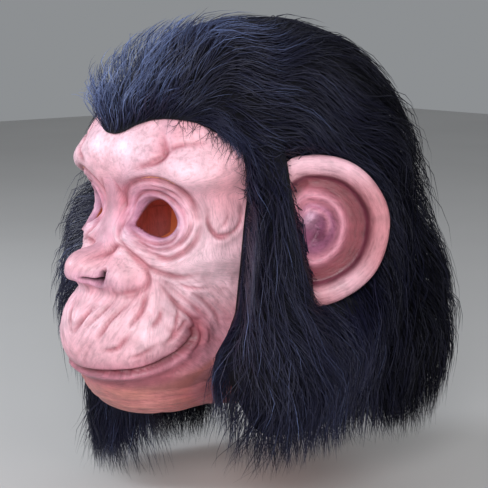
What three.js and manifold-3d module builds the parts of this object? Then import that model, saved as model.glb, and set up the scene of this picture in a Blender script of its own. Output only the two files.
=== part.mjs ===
// Chimp mask: a hollow latex face and hood, two moulded ears and four panels of long fur.
// Millimetres, +Z up. The face looks along -Y and the wearer's left is +X.
// The origin is the inside of the crown, where the mask sits on the head.

import * as THREE from "three";
import { mergeVertices } from "three/addons/utils/BufferGeometryUtils.js";
import Module from "manifold-3d";

const wasm = await Module();
wasm.setup();

// Sizes of the latex face and hood
const headWidth = 168;       // across the hood above the ears
const headDepth = 208;       // brow to the back of the skull
const maskHeight = 250;      // crown to the tip of the chin
const latexWall = 3;
const rimDrop = 243;         // crown to the cut lower edge
const browWidth = 138;
const muzzleWidth = 106;
const muzzleReach = 141;     // crown axis to the front of the upper lip
const noseReach = 143;       // crown axis to the tip of the nose
const nostrilSpan = 64;      // across both wings of the nose
const reliefDepth = 4;       // height of a full swelling
const foldDepth = 1.5;
const foldWidth = 2.8;
const mouthDrop = 209;       // crown to the line of the lips

// Sizes of the openings
const eyeSpacing = 76;       // centre to centre, along the face
const eyeDrop = 107;         // crown to the middle of the eyes
const eyeHoleWidth = 34;     // along the face
const eyeHoleHeight = 23;
const nostrilWidth = 9;
const nostrilHeight = 5;

// Sizes of the ears
const earHeight = 103;
const earReach = 9;          // middle of the ear beyond the side of the hood
const earDrop = 117;         // crown to the middle of the ear
const earTurn = 50;          // degrees that the ear's hollow is turned from the front to the side
const earThickness = 5;
const earRimRise = 6;        // rolled rim above the plane of the ear
const earHollow = 10;        // depth of the middle of the ear

// Sizes of the fur
const furWidth = 230;
const furRise = 28;          // top of the fur above the crown
const furBackReach = 157;    // crown axis to the back of the fur
const furDrop = 274;         // crown to where the panels end
const lockFall = 22;         // tips of the lowest locks below that
const lockWidth = 27;
const lockLift = 7;          // tips of the locks above the fur behind them
const crownSeamDrop = 58;    // crown to the seam between the crown panel and the panels below
const sideSeamAngle = 101;   // degrees round from the front to the seam behind the ear
const hairlineBevel = 1.2;   // how much wider the face window is at its outside
const neckWidth = 140;       // room that the hanging fur leaves for the neck
const neckDepth = 168;

const pieceGap = 0.35;       // between pieces that are glued or sewn together
const hoodGap = 1.25;        // between the hood and what is glued over its rounds
const blendReach = 22;       // how far neighbouring rounded masses run into each other

// Worked-out values
const faceRadius = 0.48 * headDepth;
const arcPerDegree = THREE.MathUtils.degToRad(faceRadius);
const heart = new THREE.Vector3(0, -0.048 * headDepth, -0.48 * maskHeight);
const farOut = 2.5 * headDepth;

// Rounded masses of the head, blended into one another in this order. Half sizes and centres follow the
// named sizes, and softness is a share of the blend reach.
const headForms = [
  { centre: [0, 0.024 * headDepth, -0.4 * maskHeight],
    half: [headWidth / 2, headDepth / 2, 0.408 * maskHeight] },
  { centre: [0, 0.038 * headDepth, -0.76 * maskHeight],
    half: [0.43 * headWidth, 0.404 * headDepth, 0.4 * maskHeight] },
  { centre: [0, -0.24 * headDepth, -0.24 * maskHeight],
    half: [0.44 * headWidth, 0.24 * headDepth, 0.168 * maskHeight] },
  { centre: [0, -0.288 * headDepth, -0.552 * maskHeight],
    half: [0.37 * headWidth, 0.27 * headDepth, 0.224 * maskHeight] },
  { centre: [0, 0.264 * headDepth - muzzleReach, -0.76 * maskHeight], softness: 0.73,
    half: [muzzleWidth / 2, 0.264 * headDepth, 0.18 * maskHeight] },
  { centre: [0, -0.346 * headDepth, -0.296 * maskHeight],
    half: [browWidth / 2, 0.178 * headDepth, 0.088 * maskHeight] },
  { centre: [0, -0.375 * headDepth, -0.896 * maskHeight],
    half: [0.274 * headWidth, 0.183 * headDepth, 0.112 * maskHeight] },
  { centre: [0, 0.082 * headDepth - noseReach, -0.564 * maskHeight], softness: 0.55,
    half: [0.089 * headWidth, 0.082 * headDepth, 0.052 * maskHeight] },
  ...[1, -1].map((side) => ({
    centre: [side * 0.266 * nostrilSpan, 0.139 * headDepth - noseReach, -0.584 * maskHeight],
    half: [0.234 * nostrilSpan, 0.072 * headDepth, 0.052 * maskHeight], softness: 0.32,
  })),
];

// Rounded masses of the fur
const furForms = [
  { centre: [0, 0.05 * headDepth, -0.39 * maskHeight], softness: 1.36,
    half: [0.46 * furWidth, 0.61 * headDepth, furRise + 0.39 * maskHeight] },
  { centre: [0, furBackReach - 0.5 * headDepth, -0.3 * maskHeight], softness: 1.82,
    half: [0.41 * furWidth, 0.41 * headDepth, 0.34 * maskHeight] },
  { centre: [0, furBackReach - 0.54 * headDepth, -0.71 * furDrop], softness: 1.82,
    half: [0.487 * furWidth, 0.54 * headDepth, 0.42 * furDrop] },
  ...[1, -1].map((side) => ({
    centre: [side * 0.36 * furWidth, -0.1 * headDepth, -0.62 * furDrop], softness: 0.91,
    half: [0.178 * furWidth, 0.3 * headDepth, 0.46 * furDrop],
  })),
];

// Swellings and hollows of the face, on both sides: angle from the front in degrees, drop, half width and
// half height as shares of the mask's height, tilt in degrees, and rise as a share of the relief depth.
const swellings = [
  { name: "inner brow", angle: 13, drop: 0.24, wide: 0.072, tall: 0.048, tilt: 0, rise: 0.75 },
  { name: "outer brow", angle: 37, drop: 0.3, wide: 0.08, tall: 0.04, tilt: -12, rise: 1 },
  { name: "brow dent", angle: 27, drop: 0.244, wide: 0.03, tall: 0.04, tilt: 25, rise: -0.65 },
  { name: "eye socket", angle: 21, drop: 0.4, wide: 0.088, tall: 0.056, tilt: 0, rise: -1.6 },
  { name: "eye pad", angle: 22, drop: 0.432, wide: 0.068, tall: 0.052, tilt: 0, rise: 1 },
  { name: "inner corner", angle: 9, drop: 0.416, wide: 0.032, tall: 0.052, tilt: 0, rise: -0.75 },
  { name: "nose bridge pad", angle: 11, drop: 0.496, wide: 0.048, tall: 0.036, tilt: -20, rise: 0.75 },
  { name: "temple pad", angle: 52, drop: 0.416, wide: 0.052, tall: 0.052, tilt: 0, rise: 1 },
  { name: "cheek bone", angle: 38, drop: 0.536, wide: 0.088, tall: 0.048, tilt: -20, rise: 0.6 },
  { name: "cheek hollow", angle: 47, drop: 0.68, wide: 0.056, tall: 0.1, tilt: 15, rise: -0.9 },
  { name: "muzzle side", angle: 27, drop: 0.72, wide: 0.064, tall: 0.07, tilt: 0, rise: 0.4 },
  { name: "lip corner pad", angle: 43, drop: 0.736, wide: 0.028, tall: 0.056, tilt: -10, rise: 0.6 },
  { name: "chin dent", angle: 0, drop: 0.9, wide: 0.16, tall: 0.028, tilt: 0, rise: -0.5 },
  { name: "under the nose", angle: 0, drop: 0.615, wide: 0.1, tall: 0.02, tilt: 0, rise: -0.5 },
];

// Creases, on both sides: points of angle in degrees and drop as a share of the mask's height,
// then width and depth as shares of the fold width and fold depth.
const creases = [
  { name: "brow", wide: 1.1, deep: 1.2,
    path: [[6.5, 0.396], [11, 0.346], [25, 0.318], [35, 0.352], [39.5, 0.42]] },
  { name: "temple", wide: 0.9, deep: 0.9, path: [[44, 0.4], [44.5, 0.44], [50, 0.474], [58, 0.43]] },
  { name: "nose to cheek", wide: 1, deep: 0.75,
    path: [[9, 0.424], [9, 0.48], [19, 0.54], [34, 0.578], [42, 0.566]] },
  { name: "upper cheek", wide: 0.8, deep: 0.8, path: [[17, 0.49], [28, 0.53], [38, 0.485], [41, 0.44]] },
  { name: "cheek", wide: 1, deep: 0.9, path: [[26, 0.58], [35, 0.643], [43, 0.703]] },
  { name: "lower cheek", wide: 1, deep: 0.9, path: [[25, 0.61], [32, 0.662], [39.5, 0.732]] },
  { name: "lip corner", wide: 1, deep: 1, path: [[36.5, 0.688], [40.5, 0.74], [37.5, 0.792]] },
  { name: "first muzzle furrow", wide: 0.8, deep: 0.9, path: [[6.8, 0.656], [0.8, 0.736]] },
  { name: "second muzzle furrow", wide: 0.8, deep: 0.9, path: [[15.8, 0.646], [10.2, 0.736]] },
  { name: "third muzzle furrow", wide: 0.8, deep: 0.9, path: [[21, 0.63], [19, 0.72]] },
  { name: "fourth muzzle furrow", wide: 0.8, deep: 0.8, path: [[27, 0.668], [25, 0.736]] },
  { name: "lower lip", wide: 1.2, deep: 1,
    path: [[-6, 0.888], [8, 0.882], [21, 0.864], [33, 0.832], [38.5, 0.802]] },
  { name: "forehead", wide: 1, deep: 1, path: [[25.5, 0.2], [28.5, 0.248], [18, 0.29]] },
];

// The line of the lips: angle in degrees and the rise above its middle as a share of the mask's height
const lipLine = [[-6, 0], [8, 0.004], [21, 0.012], [31, 0.044], [37, 0.084], [37.5, 0.11]];

// Outline of the eye hole, as shares of its half width and half height, from the inner corner over the top
const eyeOutline = [
  [-1, -0.26], [-0.83, 0.35], [-0.48, 0.82], [-0.07, 1], [0.39, 0.93], [0.77, 0.5],
  [1, -0.14], [0.85, -0.68], [0.49, -1], [-0.02, -0.89], [-0.58, -0.56],
];

// Half of the line where the fur meets the face: angle in degrees and drop as a share of the mask's height
const hairline = [
  [0, 0.212], [12.5, 0.182], [26, 0.17], [39, 0.175], [50, 0.208], [58.5, 0.25], [61.5, 0.37], [59, 0.52],
  [57.5, 0.68], [53.5, 0.745], [45, 0.815], [41.5, 0.92], [38, 1.45],
];

// Section of the ear from its edge to its middle: shares of the ear's radius and of the rim's rise
const earSection = [
  [1, 0], [0.96, 0.7], [0.88, 1], [0.78, 0.75], [0.7, -0.3], [0.6, -0.75], [0.5, 0], [0.4, -0.1],
  [0.26, -1.1], [0.12, -1.4], [0, -1.4],
];

// Rows of locks: the panel they belong to, how many, the angles of the first and last, where they start and
// end in degrees from the top, the turn sideways on the way, and shares of the lock width, lift and fall.
const crownRows = [
  { panel: "crown", count: 6, around: [-48, 48], down: [53, 24], turn: 6, wide: 1.05, lift: 1, fall: 0 },
  { panel: "crown", count: 3, around: [145, 215], down: [18, 54], turn: 0, wide: 1.2, lift: 1, fall: 0 },
];
const leftRows = [
  { panel: "crown", count: 3, around: [72, 118], down: [24, 50], turn: 16, wide: 1.1, lift: 1, fall: 0 },
  { panel: "left", count: 2, around: [65, 75], down: [66, 112], turn: 8, wide: 0.9, lift: 1, fall: 0 },
  { panel: "left", count: 4, around: [60, 96], down: [106, 146], turn: 0, wide: 1.15, lift: 1.1, fall: 1.5 },
];
const backRows = [
  { panel: "back", count: 5, around: [116, 244], down: [66, 108], turn: 0, wide: 1.2, lift: 1, fall: 0 },
  { panel: "back", count: 7, around: [110, 250], down: [102, 142], turn: 0, wide: 1.2, lift: 1.1, fall: 0.5 },
];
const rightRows = leftRows.map((row) => ({
  ...row, panel: row.panel === "left" ? "right" : row.panel,
  around: row.around.map((angle) => -angle), turn: -row.turn,
}));
const lockRows = [...crownRows, ...leftRows, ...rightRows, ...backRows];

// Blended distance to a set of rounded masses

function distanceTo(form, point) {
  const [a, b, c] = form.half;
  const x = point.x - form.centre[0];
  const y = point.y - form.centre[1];
  const z = point.z - form.centre[2];
  const near = Math.hypot(x / a, y / b, z / c);
  const slope = Math.hypot(x / a ** 2, y / b ** 2, z / c ** 2);
  return slope === 0 ? -Math.min(a, b, c) : (near * (near - 1)) / slope;
}

function blendedDistance(forms, point) {
  let total = distanceTo(forms[0], point);
  for (const form of forms.slice(1)) {
    const own = distanceTo(form, point);
    const softness = (form.softness ?? 1) * blendReach;
    const overlap = Math.max(softness - Math.abs(total - own), 0) / softness;
    total = Math.min(total, own) - (overlap ** 2 * softness) / 4;
  }
  return total;
}

function towards(angle, polar) {
  const a = THREE.MathUtils.degToRad(angle);
  const p = THREE.MathUtils.degToRad(polar);
  return new THREE.Vector3(Math.sin(a) * Math.sin(p), -Math.cos(a) * Math.sin(p), Math.cos(p));
}

// Where a ray from the heart of the head leaves the masses grown by the level
function castOut(forms, direction, level) {
  let inside = 0;
  let outside = farOut;
  for (let step = 0; step < 36; step += 1) {
    const middle = (inside + outside) / 2;
    const point = heart.clone().addScaledVector(direction, middle);
    if (blendedDistance(forms, point) < level) {
      inside = middle;
    } else {
      outside = middle;
    }
  }
  return heart.clone().addScaledVector(direction, inside);
}

function outwardAt(forms, point) {
  const reach = 0.5;
  const slope = ["x", "y", "z"].map((axis) => {
    const ahead = point.clone();
    const behind = point.clone();
    ahead[axis] += reach;
    behind[axis] -= reach;
    return blendedDistance(forms, ahead) - blendedDistance(forms, behind);
  });
  return new THREE.Vector3(...slope).normalize();
}

// Relief of the face, worked out from the angle from the front and the drop below the crown

function distanceToPath(path, across, down) {
  let best = Infinity;
  for (let i = 1; i < path.length; i += 1) {
    const [x0, y0] = path[i - 1];
    const [dx, dy] = [path[i][0] - x0, path[i][1] - y0];
    const along = ((across - x0) * dx + (down - y0) * dy) / (dx * dx + dy * dy);
    const t = THREE.MathUtils.clamp(along, 0, 1);
    best = Math.min(best, Math.hypot(across - x0 - t * dx, down - y0 - t * dy));
  }
  return best;
}

const bell = (distance, width) => Math.exp(-((distance / width) ** 2));
const onFace = (path) => path.map(([angle, drop]) => [angle * arcPerDegree, drop * maskHeight]);
const creasePaths = creases.map((crease) => ({ ...crease, path: onFace(crease.path) }));
const lipPath = lipLine.map(([angle, rise]) => [angle * arcPerDegree, mouthDrop - rise * maskHeight]);
const eyePath = [...eyeOutline, eyeOutline[0]].map(([across, up]) => [
  eyeSpacing / 2 + (across * eyeHoleWidth) / 2,
  eyeDrop - (up * eyeHoleHeight) / 2,
]);

function swellingHeight(across, down) {
  let height = 0;
  for (const swelling of swellings) {
    const tilt = THREE.MathUtils.degToRad(swelling.tilt);
    const dx = across - swelling.angle * arcPerDegree;
    const dy = down - swelling.drop * maskHeight;
    const u = (dx * Math.cos(tilt) - dy * Math.sin(tilt)) / (swelling.wide * maskHeight);
    const v = (dx * Math.sin(tilt) + dy * Math.cos(tilt)) / (swelling.tall * maskHeight);
    height += swelling.rise * reliefDepth * Math.exp(-(u * u + v * v));
  }
  const betweenLips = 0.6 * reliefDepth * bell(distanceToPath(lipPath, across, down), 2 * foldWidth);
  return height - betweenLips;
}

// The lids are rolls and creases that run round the eye hole
function lidHeight(across, down) {
  const away = distanceToPath(eyePath, across, down);
  const roll = 0.4 * reliefDepth * bell(away - 0.14 * eyeHoleHeight, 0.12 * eyeHoleHeight);
  const inner = foldDepth * bell(away - 0.34 * eyeHoleHeight, 0.8 * foldWidth);
  const outer = 0.8 * foldDepth * bell(away - 0.62 * eyeHoleHeight, 0.8 * foldWidth);
  return roll - inner - outer;
}

function creaseHeight(across, down) {
  let height = 0;
  for (const { path, wide, deep } of creasePaths) {
    height -= deep * foldDepth * bell(distanceToPath(path, across, down), wide * foldWidth);
  }
  const lipCrease = 1.25 * foldDepth * bell(distanceToPath(lipPath, across, down), foldWidth);
  const deepest = 0.45 * latexWall;
  return Math.max(height - lipCrease, -deepest);
}

function skinPoint(angle, polar, { level = 0, creased = true } = {}) {
  const point = castOut(headForms, towards(angle, polar), level);
  const across = Math.abs(THREE.MathUtils.radToDeg(Math.atan2(point.x, heart.y - point.y))) * arcPerDegree;
  const down = -point.z;
  const fine = creased ? creaseHeight(across, down) + lidHeight(across, down) : 0;
  return point.addScaledVector(outwardAt(headForms, point), swellingHeight(across, down) + fine);
}

// Solids

function solidOf(geometry) {
  const bare = geometry.clone();
  bare.deleteAttribute("normal");
  bare.deleteAttribute("uv");
  const merged = mergeVertices(bare, 1e-4);
  return new wasm.Manifold(new wasm.Mesh({
    numProp: 3,
    vertProperties: new Float32Array(merged.attributes.position.array),
    triVerts: new Uint32Array(merged.index.array),
  }));
}

function geometryOf(solid) {
  const mesh = solid.getMesh();
  const geometry = new THREE.BufferGeometry();
  geometry.setAttribute("position", new THREE.BufferAttribute(new Float32Array(mesh.vertProperties), 3));
  geometry.setIndex(Array.from(mesh.triVerts));
  geometry.computeVertexNormals();
  return geometry;
}

// The faces may all point in: they are then turned round, so that the solid isn't inside out
function indexedSolid(points, faces) {
  let volume = 0;
  for (let k = 0; k < faces.length; k += 3) {
    const [a, b, c] = [points[faces[k]], points[faces[k + 1]], points[faces[k + 2]]];
    volume += a.dot(b.clone().cross(c));
  }
  const geometry = new THREE.BufferGeometry().setFromPoints(points);
  geometry.setIndex(volume < 0 ? faces.slice().reverse() : faces);
  return solidOf(geometry);
}

const joined = (solids) => solids.reduce((whole, solid) => whole.add(solid));

// The largest body of a cut solid, without the crumbs of locks that a seam cuts off
const mainBody = (solid) => solid.decompose().sort((a, b) => b.volume() - a.volume())[0];

// A closed surface round the heart: columns of points from the top pole to the bottom pole, each with steps
// of its own and zipped to the next column
function zippedSolid(columns, pointAt) {
  const points = [pointAt(0, 0), pointAt(0, 180)];
  const rows = columns.map(({ angle, polars }) => polars.map((polar) => {
    points.push(pointAt(angle, polar));
    return points.length - 1;
  }));
  const faces = [];
  columns.forEach((column, c) => {
    const next = (c + 1) % columns.length;
    const [left, right] = [rows[c], rows[next]];
    const [leftPolars, rightPolars] = [column.polars, columns[next].polars];
    faces.push(0, left[0], right[0]);
    let [i, j] = [0, 0];
    while (i < left.length - 1 || j < right.length - 1) {
      const leftNext = leftPolars[i + 1] ?? Infinity;
      const rightNext = rightPolars[j + 1] ?? Infinity;
      if (leftNext <= rightNext) {
        faces.push(left[i], left[i + 1], right[j]);
        i += 1;
      } else {
        faces.push(left[i], right[j + 1], right[j]);
        j += 1;
      }
    }
    faces.push(left[i], 1, right[j]);
  });
  return indexedSolid(points, faces);
}

function steps(from, to, size) {
  const count = Math.max(1, Math.round((to - from) / size));
  return Array.from({ length: count + 1 }, (_, k) => from + ((to - from) * k) / count);
}

// Columns that are close together over the face, closest at the nose, the eyes and the lips, and wide apart
// round the back, all in degrees. Fineness 1 is the outside of the face.
function headColumns(fineness, backStep, backRowStep) {
  const [firstRow, lastRow, lowestRow] = [12, 150, 165];
  const [noseEdge, faceEdge] = [16, 63];
  const crownRowsOfFace = [firstRow, 30, 48];
  const rowBands = [[48, 84, 3.6], [84, 112, 2.35], [112, 120, 2.7], [120, 130, 2], [130, lastRow, 4.5]];
  const faceRows = [
    ...crownRowsOfFace,
    ...rowBands.flatMap(([from, to, step]) => steps(from, to, step / fineness).slice(1)),
    lowestRow,
  ];
  const plainRows = [...steps(firstRow, lastRow, backRowStep), lowestRow];
  const noseSteps = steps(-noseEdge, noseEdge, 2.4 / fineness);
  const sideSteps = steps(noseEdge, faceEdge, 4.1 / fineness).slice(1);
  const faceAngles = [...sideSteps.map((angle) => -angle).reverse(), ...noseSteps, ...sideSteps];
  const backAngles = steps(faceEdge, 360 - faceEdge, backStep).slice(1, -1);
  return [
    ...faceAngles.map((angle) => ({ angle, polars: faceRows })),
    ...backAngles.map((angle) => ({ angle, polars: plainRows })),
  ];
}

// A closed prism through an outline given as distance across the face and drop, between two distances from
// the axis
function radialPrism(outline, { near, far, spread = 1, middle }) {
  const count = outline.length;
  const place = (across, down, reach) => {
    const angle = across / faceRadius;
    return new THREE.Vector3(reach * Math.sin(angle), heart.y - reach * Math.cos(angle), -down);
  };
  const points = outline.map(([across, down]) => place(across, down, near));
  points.push(...outline.map(([across, down]) => place(
    middle[0] + (across - middle[0]) * spread,
    middle[1] + (down - middle[1]) * spread,
    far,
  )));
  points.push(place(...middle, near), place(...middle, far));
  const faces = [];
  for (let k = 0; k < count; k += 1) {
    const next = (k + 1) % count;
    faces.push(k, next, count + k, next, count + next, count + k);
    faces.push(next, k, 2 * count, count + k, count + next, 2 * count + 1);
  }
  return indexedSolid(points, faces);
}

function boxSolid([x0, y0, z0], [x1, y1, z1]) {
  const box = new THREE.BoxGeometry(x1 - x0, y1 - y0, z1 - z0);
  return solidOf(box.translate((x0 + x1) / 2, (y0 + y1) / 2, (z0 + z1) / 2));
}

// Openings of the face

const mirrored = (outline) => outline.map(([across, down]) => [-across, down]).reverse();

function eyeHoles() {
  const outline = eyePath.slice(0, -1);
  const middle = [eyeSpacing / 2, eyeDrop];
  const reach = { near: 0.3 * headDepth, far: headDepth };
  return joined([
    radialPrism(outline, { ...reach, middle }),
    radialPrism(mirrored(outline), { ...reach, middle: [-middle[0], middle[1]] }),
  ]);
}

function nostrils() {
  const middle = [0.2 * nostrilSpan, 0.592 * maskHeight];
  const ring = new THREE.EllipseCurve(0, 0, nostrilWidth / 2, nostrilHeight / 2).getPoints(10).slice(0, -1);
  const outline = ring.map(({ x, y }) => [middle[0] + x, middle[1] - y]);
  const reach = { near: 0.3 * headDepth, far: headDepth };
  return joined([
    radialPrism(outline, { ...reach, middle }),
    radialPrism(mirrored(outline), { ...reach, middle: [-middle[0], middle[1]] }),
  ]);
}

// Latex face and hood

const fineColumns = headColumns(1, 16, 12.5);
const plainColumns = headColumns(0.78, 22, 15);
const headOutside = zippedSolid(fineColumns, (angle, polar) => skinPoint(angle, polar));

function maskShell() {
  const inside = zippedSolid(plainColumns, (angle, polar) => (
    skinPoint(angle, polar, { level: -latexWall, creased: false })
  ));
  const belowRim = boxSolid([-farOut, -farOut, -farOut], [farOut, farOut, -rimDrop]);
  return headOutside.subtract(inside).subtract(belowRim).subtract(eyeHoles()).subtract(nostrils());
}

// Space that the glued pieces leave round the hood
function headRoom() {
  const fewColumns = headColumns(0.5, 16, 12.5);
  return zippedSolid(fewColumns, (angle, polar) => (
    skinPoint(angle, polar, { level: hoodGap, creased: false })
  ));
}

// Ears

// The ear's own directions: out from the head, up, and to the front of its hollow
function earPlane(side) {
  const turn = THREE.MathUtils.degToRad(earTurn);
  return {
    out: new THREE.Vector3(side * Math.cos(turn), Math.sin(turn), 0),
    front: new THREE.Vector3(side * Math.sin(turn), -Math.cos(turn), 0),
    up: new THREE.Vector3(0, 0, 1),
    middle: new THREE.Vector3(side * (headWidth / 2 + earReach), -0.02 * headDepth, -earDrop),
  };
}

function earSolid(side, growth = 0) {
  const { out, front, up, middle } = earPlane(side);
  const angles = steps(0, 360, 18).slice(0, -1);
  const backSection = [[0.84, -0.7], [0.45, -1.7]];
  const rise = (share) => (share < 0 ? (-share * earHollow) / -1.4 : share * earRimRise);
  const radiusAt = (angle) => {
    const a = THREE.MathUtils.degToRad(angle);
    return (earHeight / 2) * (1 - 0.05 * Math.max(0, Math.cos(a + 0.8)) + 0.04 * Math.max(0, -Math.sin(a)));
  };
  const place = (angle, share, height) => {
    const a = THREE.MathUtils.degToRad(angle);
    const radius = radiusAt(angle) * share + (share > 0.8 ? growth : 0);
    return middle.clone()
      .addScaledVector(out, radius * Math.cos(a))
      .addScaledVector(up, radius * Math.sin(a))
      .addScaledVector(front, height);
  };
  // The knob stands above the hollow, a little over its middle
  const knob = (angle, share) => {
    const a = THREE.MathUtils.degToRad(angle);
    const [x, y] = [share * Math.cos(a), share * Math.sin(a) - 0.16];
    return 1.1 * earHollow * Math.exp(-(x * x + y * y) / 0.02);
  };
  const skin = 1.5 * growth;
  const frontRings = earSection.slice(0, -1).map(([share, height]) => (
    angles.map((angle) => place(angle, share, rise(height) + knob(angle, share) + (share < 1 ? skin : 0)))
  ));
  const backRings = backSection.map(([share, height]) => (
    angles.map((angle) => place(angle, share, height * earThickness - skin))
  ));
  const rings = [...backRings.reverse(), ...frontRings];
  const points = rings.flat();
  const backMiddle = points.length;
  points.push(place(0, 0, -2.2 * earThickness - skin), place(0, 0, rise(-1.4) + knob(0, 0) + skin));
  const faces = [];
  const count = angles.length;
  for (let k = 0; k < count; k += 1) {
    const next = (k + 1) % count;
    faces.push(backMiddle, k, next);
    for (let ring = 0; ring < rings.length - 1; ring += 1) {
      const [low, high] = [ring * count, (ring + 1) * count];
      faces.push(low + k, high + k, low + next);
      faces.push(low + next, high + k, high + next);
    }
    const last = (rings.length - 1) * count;
    faces.push(last + next, last + k, backMiddle + 1);
  }
  return indexedSolid(points, faces);
}

// Space that the fur leaves open in the ear's hollow and in front of it. The ear's lower front quarter stays
// covered by hair.
function earView(side) {
  const { out, front, up, middle } = earPlane(side);
  const edge = earHeight / 2 + 2 * pieceGap;
  const rings = [
    { reach: -earHollow, radius: 0.3 * edge },
    { reach: 0, radius: edge },
    { reach: headDepth / 2, radius: edge },
  ];
  const angles = steps(-78, 116, 27);
  const points = rings.flatMap(({ reach, radius }) => angles.map((angle) => {
    const a = THREE.MathUtils.degToRad(angle);
    return middle.clone()
      .addScaledVector(out, radius * Math.cos(a))
      .addScaledVector(up, radius * Math.sin(a))
      .addScaledVector(front, reach);
  }));
  const faces = [];
  const count = angles.length;
  for (let k = 0; k < count; k += 1) {
    const next = (k + 1) % count;
    for (let low = 0; low < 2 * count; low += count) {
      faces.push(low + k, low + next, low + count + k, low + next, low + count + next, low + count + k);
    }
  }
  for (let k = 1; k < count - 1; k += 1) {
    faces.push(0, k + 1, k, 2 * count, 2 * count + k, 2 * count + k + 1);
  }
  return indexedSolid(points, faces);
}

// Fur

function lockSolid(row, share) {
  const stations = [
    { t: 0, full: 0.45, level: -0.8 }, { t: 0.3, full: 1, level: 0.1 },
    { t: 0.65, full: 0.8, level: 0.6 }, { t: 1, full: 0.12, level: 1 },
  ];
  const angle = THREE.MathUtils.lerp(...row.around, share);
  const middles = stations.map(({ t, level }) => {
    const direction = towards(angle + row.turn * t, THREE.MathUtils.lerp(...row.down, t));
    const point = castOut(furForms, direction, level * row.lift * lockLift);
    point.z -= row.fall * lockFall * t * t;
    return point;
  });
  const points = [];
  middles.forEach((middle, k) => {
    const [before, after] = [middles[Math.max(k - 1, 0)], middles[Math.min(k + 1, middles.length - 1)]];
    const along = after.clone().sub(before).normalize();
    const outward = middle.clone().sub(heart).normalize();
    const across = new THREE.Vector3().crossVectors(along, outward).normalize();
    const away = new THREE.Vector3().crossVectors(across, along).normalize();
    const half = (stations[k].full * row.wide * lockWidth) / 2;
    points.push(
      middle.clone().addScaledVector(across, half).addScaledVector(away, -0.3 * half),
      middle.clone().addScaledVector(away, 0.4 * half),
      middle.clone().addScaledVector(across, -half).addScaledVector(away, -0.3 * half),
    );
  });
  const faces = [0, 2, 1];
  for (let k = 0; k < stations.length - 1; k += 1) {
    for (let corner = 0; corner < 3; corner += 1) {
      const [a, b] = [3 * k + corner, 3 * k + ((corner + 1) % 3)];
      faces.push(a, b, a + 3, b, b + 3, a + 3);
    }
  }
  const last = 3 * (stations.length - 1);
  faces.push(last, last + 1, last + 2);
  return indexedSolid(points, faces);
}

function wedge(firstAngle, lastAngle, top, bottom) {
  const shape = new THREE.Shape([
    new THREE.Vector2(0, heart.y),
    ...steps(firstAngle, lastAngle, 45).map((angle) => {
      const a = THREE.MathUtils.degToRad(angle);
      return new THREE.Vector2(farOut * Math.sin(a), heart.y - farOut * Math.cos(a));
    }),
  ]);
  const column = new THREE.ExtrudeGeometry(shape, { depth: top - bottom, bevelEnabled: false });
  return solidOf(column.translate(0, 0, bottom));
}

function furPanels() {
  const polars = [...steps(20, 150, 13), 163];
  const columns = steps(-180, 180, 18).slice(0, -1).map((angle) => ({ angle, polars }));
  const mass = zippedSolid(columns, (angle, polar) => castOut(furForms, towards(angle, polar), 0));
  const half = hairline.map(([angle, drop]) => [angle * arcPerDegree, drop * maskHeight]);
  const faceWindow = radialPrism([...half, ...mirrored(half).slice(0, -1)], {
    near: 0.2 * headDepth, far: 1.4 * headDepth, spread: hairlineBevel, middle: [0, 0.56 * maskHeight],
  });
  const neck = new THREE.CylinderGeometry(neckWidth / 2, neckWidth / 2, furDrop, 24);
  neck.rotateX(Math.PI / 2).scale(1, neckDepth / neckWidth, 1);
  neck.translate(0, heart.y + 0.085 * headDepth, -furDrop);
  const ears = [1, -1].flatMap((side) => [earSolid(side, pieceGap), earView(side)]);
  const cutters = joined([headRoom(), solidOf(neck), faceWindow, ...ears]);
  const seam = (2 * THREE.MathUtils.radToDeg(pieceGap)) / headWidth;
  const low = -furDrop - 2 * lockFall;
  const lowTop = -crownSeamDrop - pieceGap;
  const panels = {
    crown: boxSolid([-farOut, -farOut, -crownSeamDrop], [farOut, farOut, farOut]),
    left: wedge(0, sideSeamAngle - seam, lowTop, low),
    right: wedge(seam - sideSeamAngle, 0, lowTop, low),
    back: wedge(sideSeamAngle + seam, 360 - sideSeamAngle - seam, lowTop, low),
  };
  const aboveHem = boxSolid([-farOut, -farOut, -furDrop], [farOut, farOut, farOut]);
  const trimmed = mass.intersect(aboveHem);
  return Object.fromEntries(Object.entries(panels).map(([name, space]) => {
    const locks = lockRows.filter((row) => row.panel === name).flatMap((row) => (
      Array.from({ length: row.count }, (_, k) => lockSolid(row, k / (row.count - 1)))
    ));
    return [name, mainBody(joined([trimmed, ...locks]).intersect(space).subtract(cutters))];
  }));
}

// Materials

const latexPink = new THREE.MeshStandardMaterial({ color: 0xe6b3bf, roughness: 0.5, metalness: 0 });
const earPink = new THREE.MeshStandardMaterial({ color: 0xc58e9e, roughness: 0.45, metalness: 0 });
const darkFur = new THREE.MeshStandardMaterial({ color: 0x211f2e, roughness: 0.6, metalness: 0 });

function named(name, solid, material) {
  const mesh = new THREE.Mesh(geometryOf(solid), material.clone());
  mesh.name = name;
  return mesh;
}

const mask = new THREE.Group();
const fur = furPanels();
const room = headRoom();
mask.add(
  named("mask_shell", maskShell(), latexPink),
  named("ear_left", earSolid(1).subtract(room), earPink),
  named("ear_right", earSolid(-1).subtract(room), earPink),
  named("fur_crown", fur.crown, darkFur),
  named("fur_side_left", fur.left, darkFur),
  named("fur_side_right", fur.right, darkFur),
  named("fur_back", fur.back, darkFur),
);

export default mask;
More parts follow.
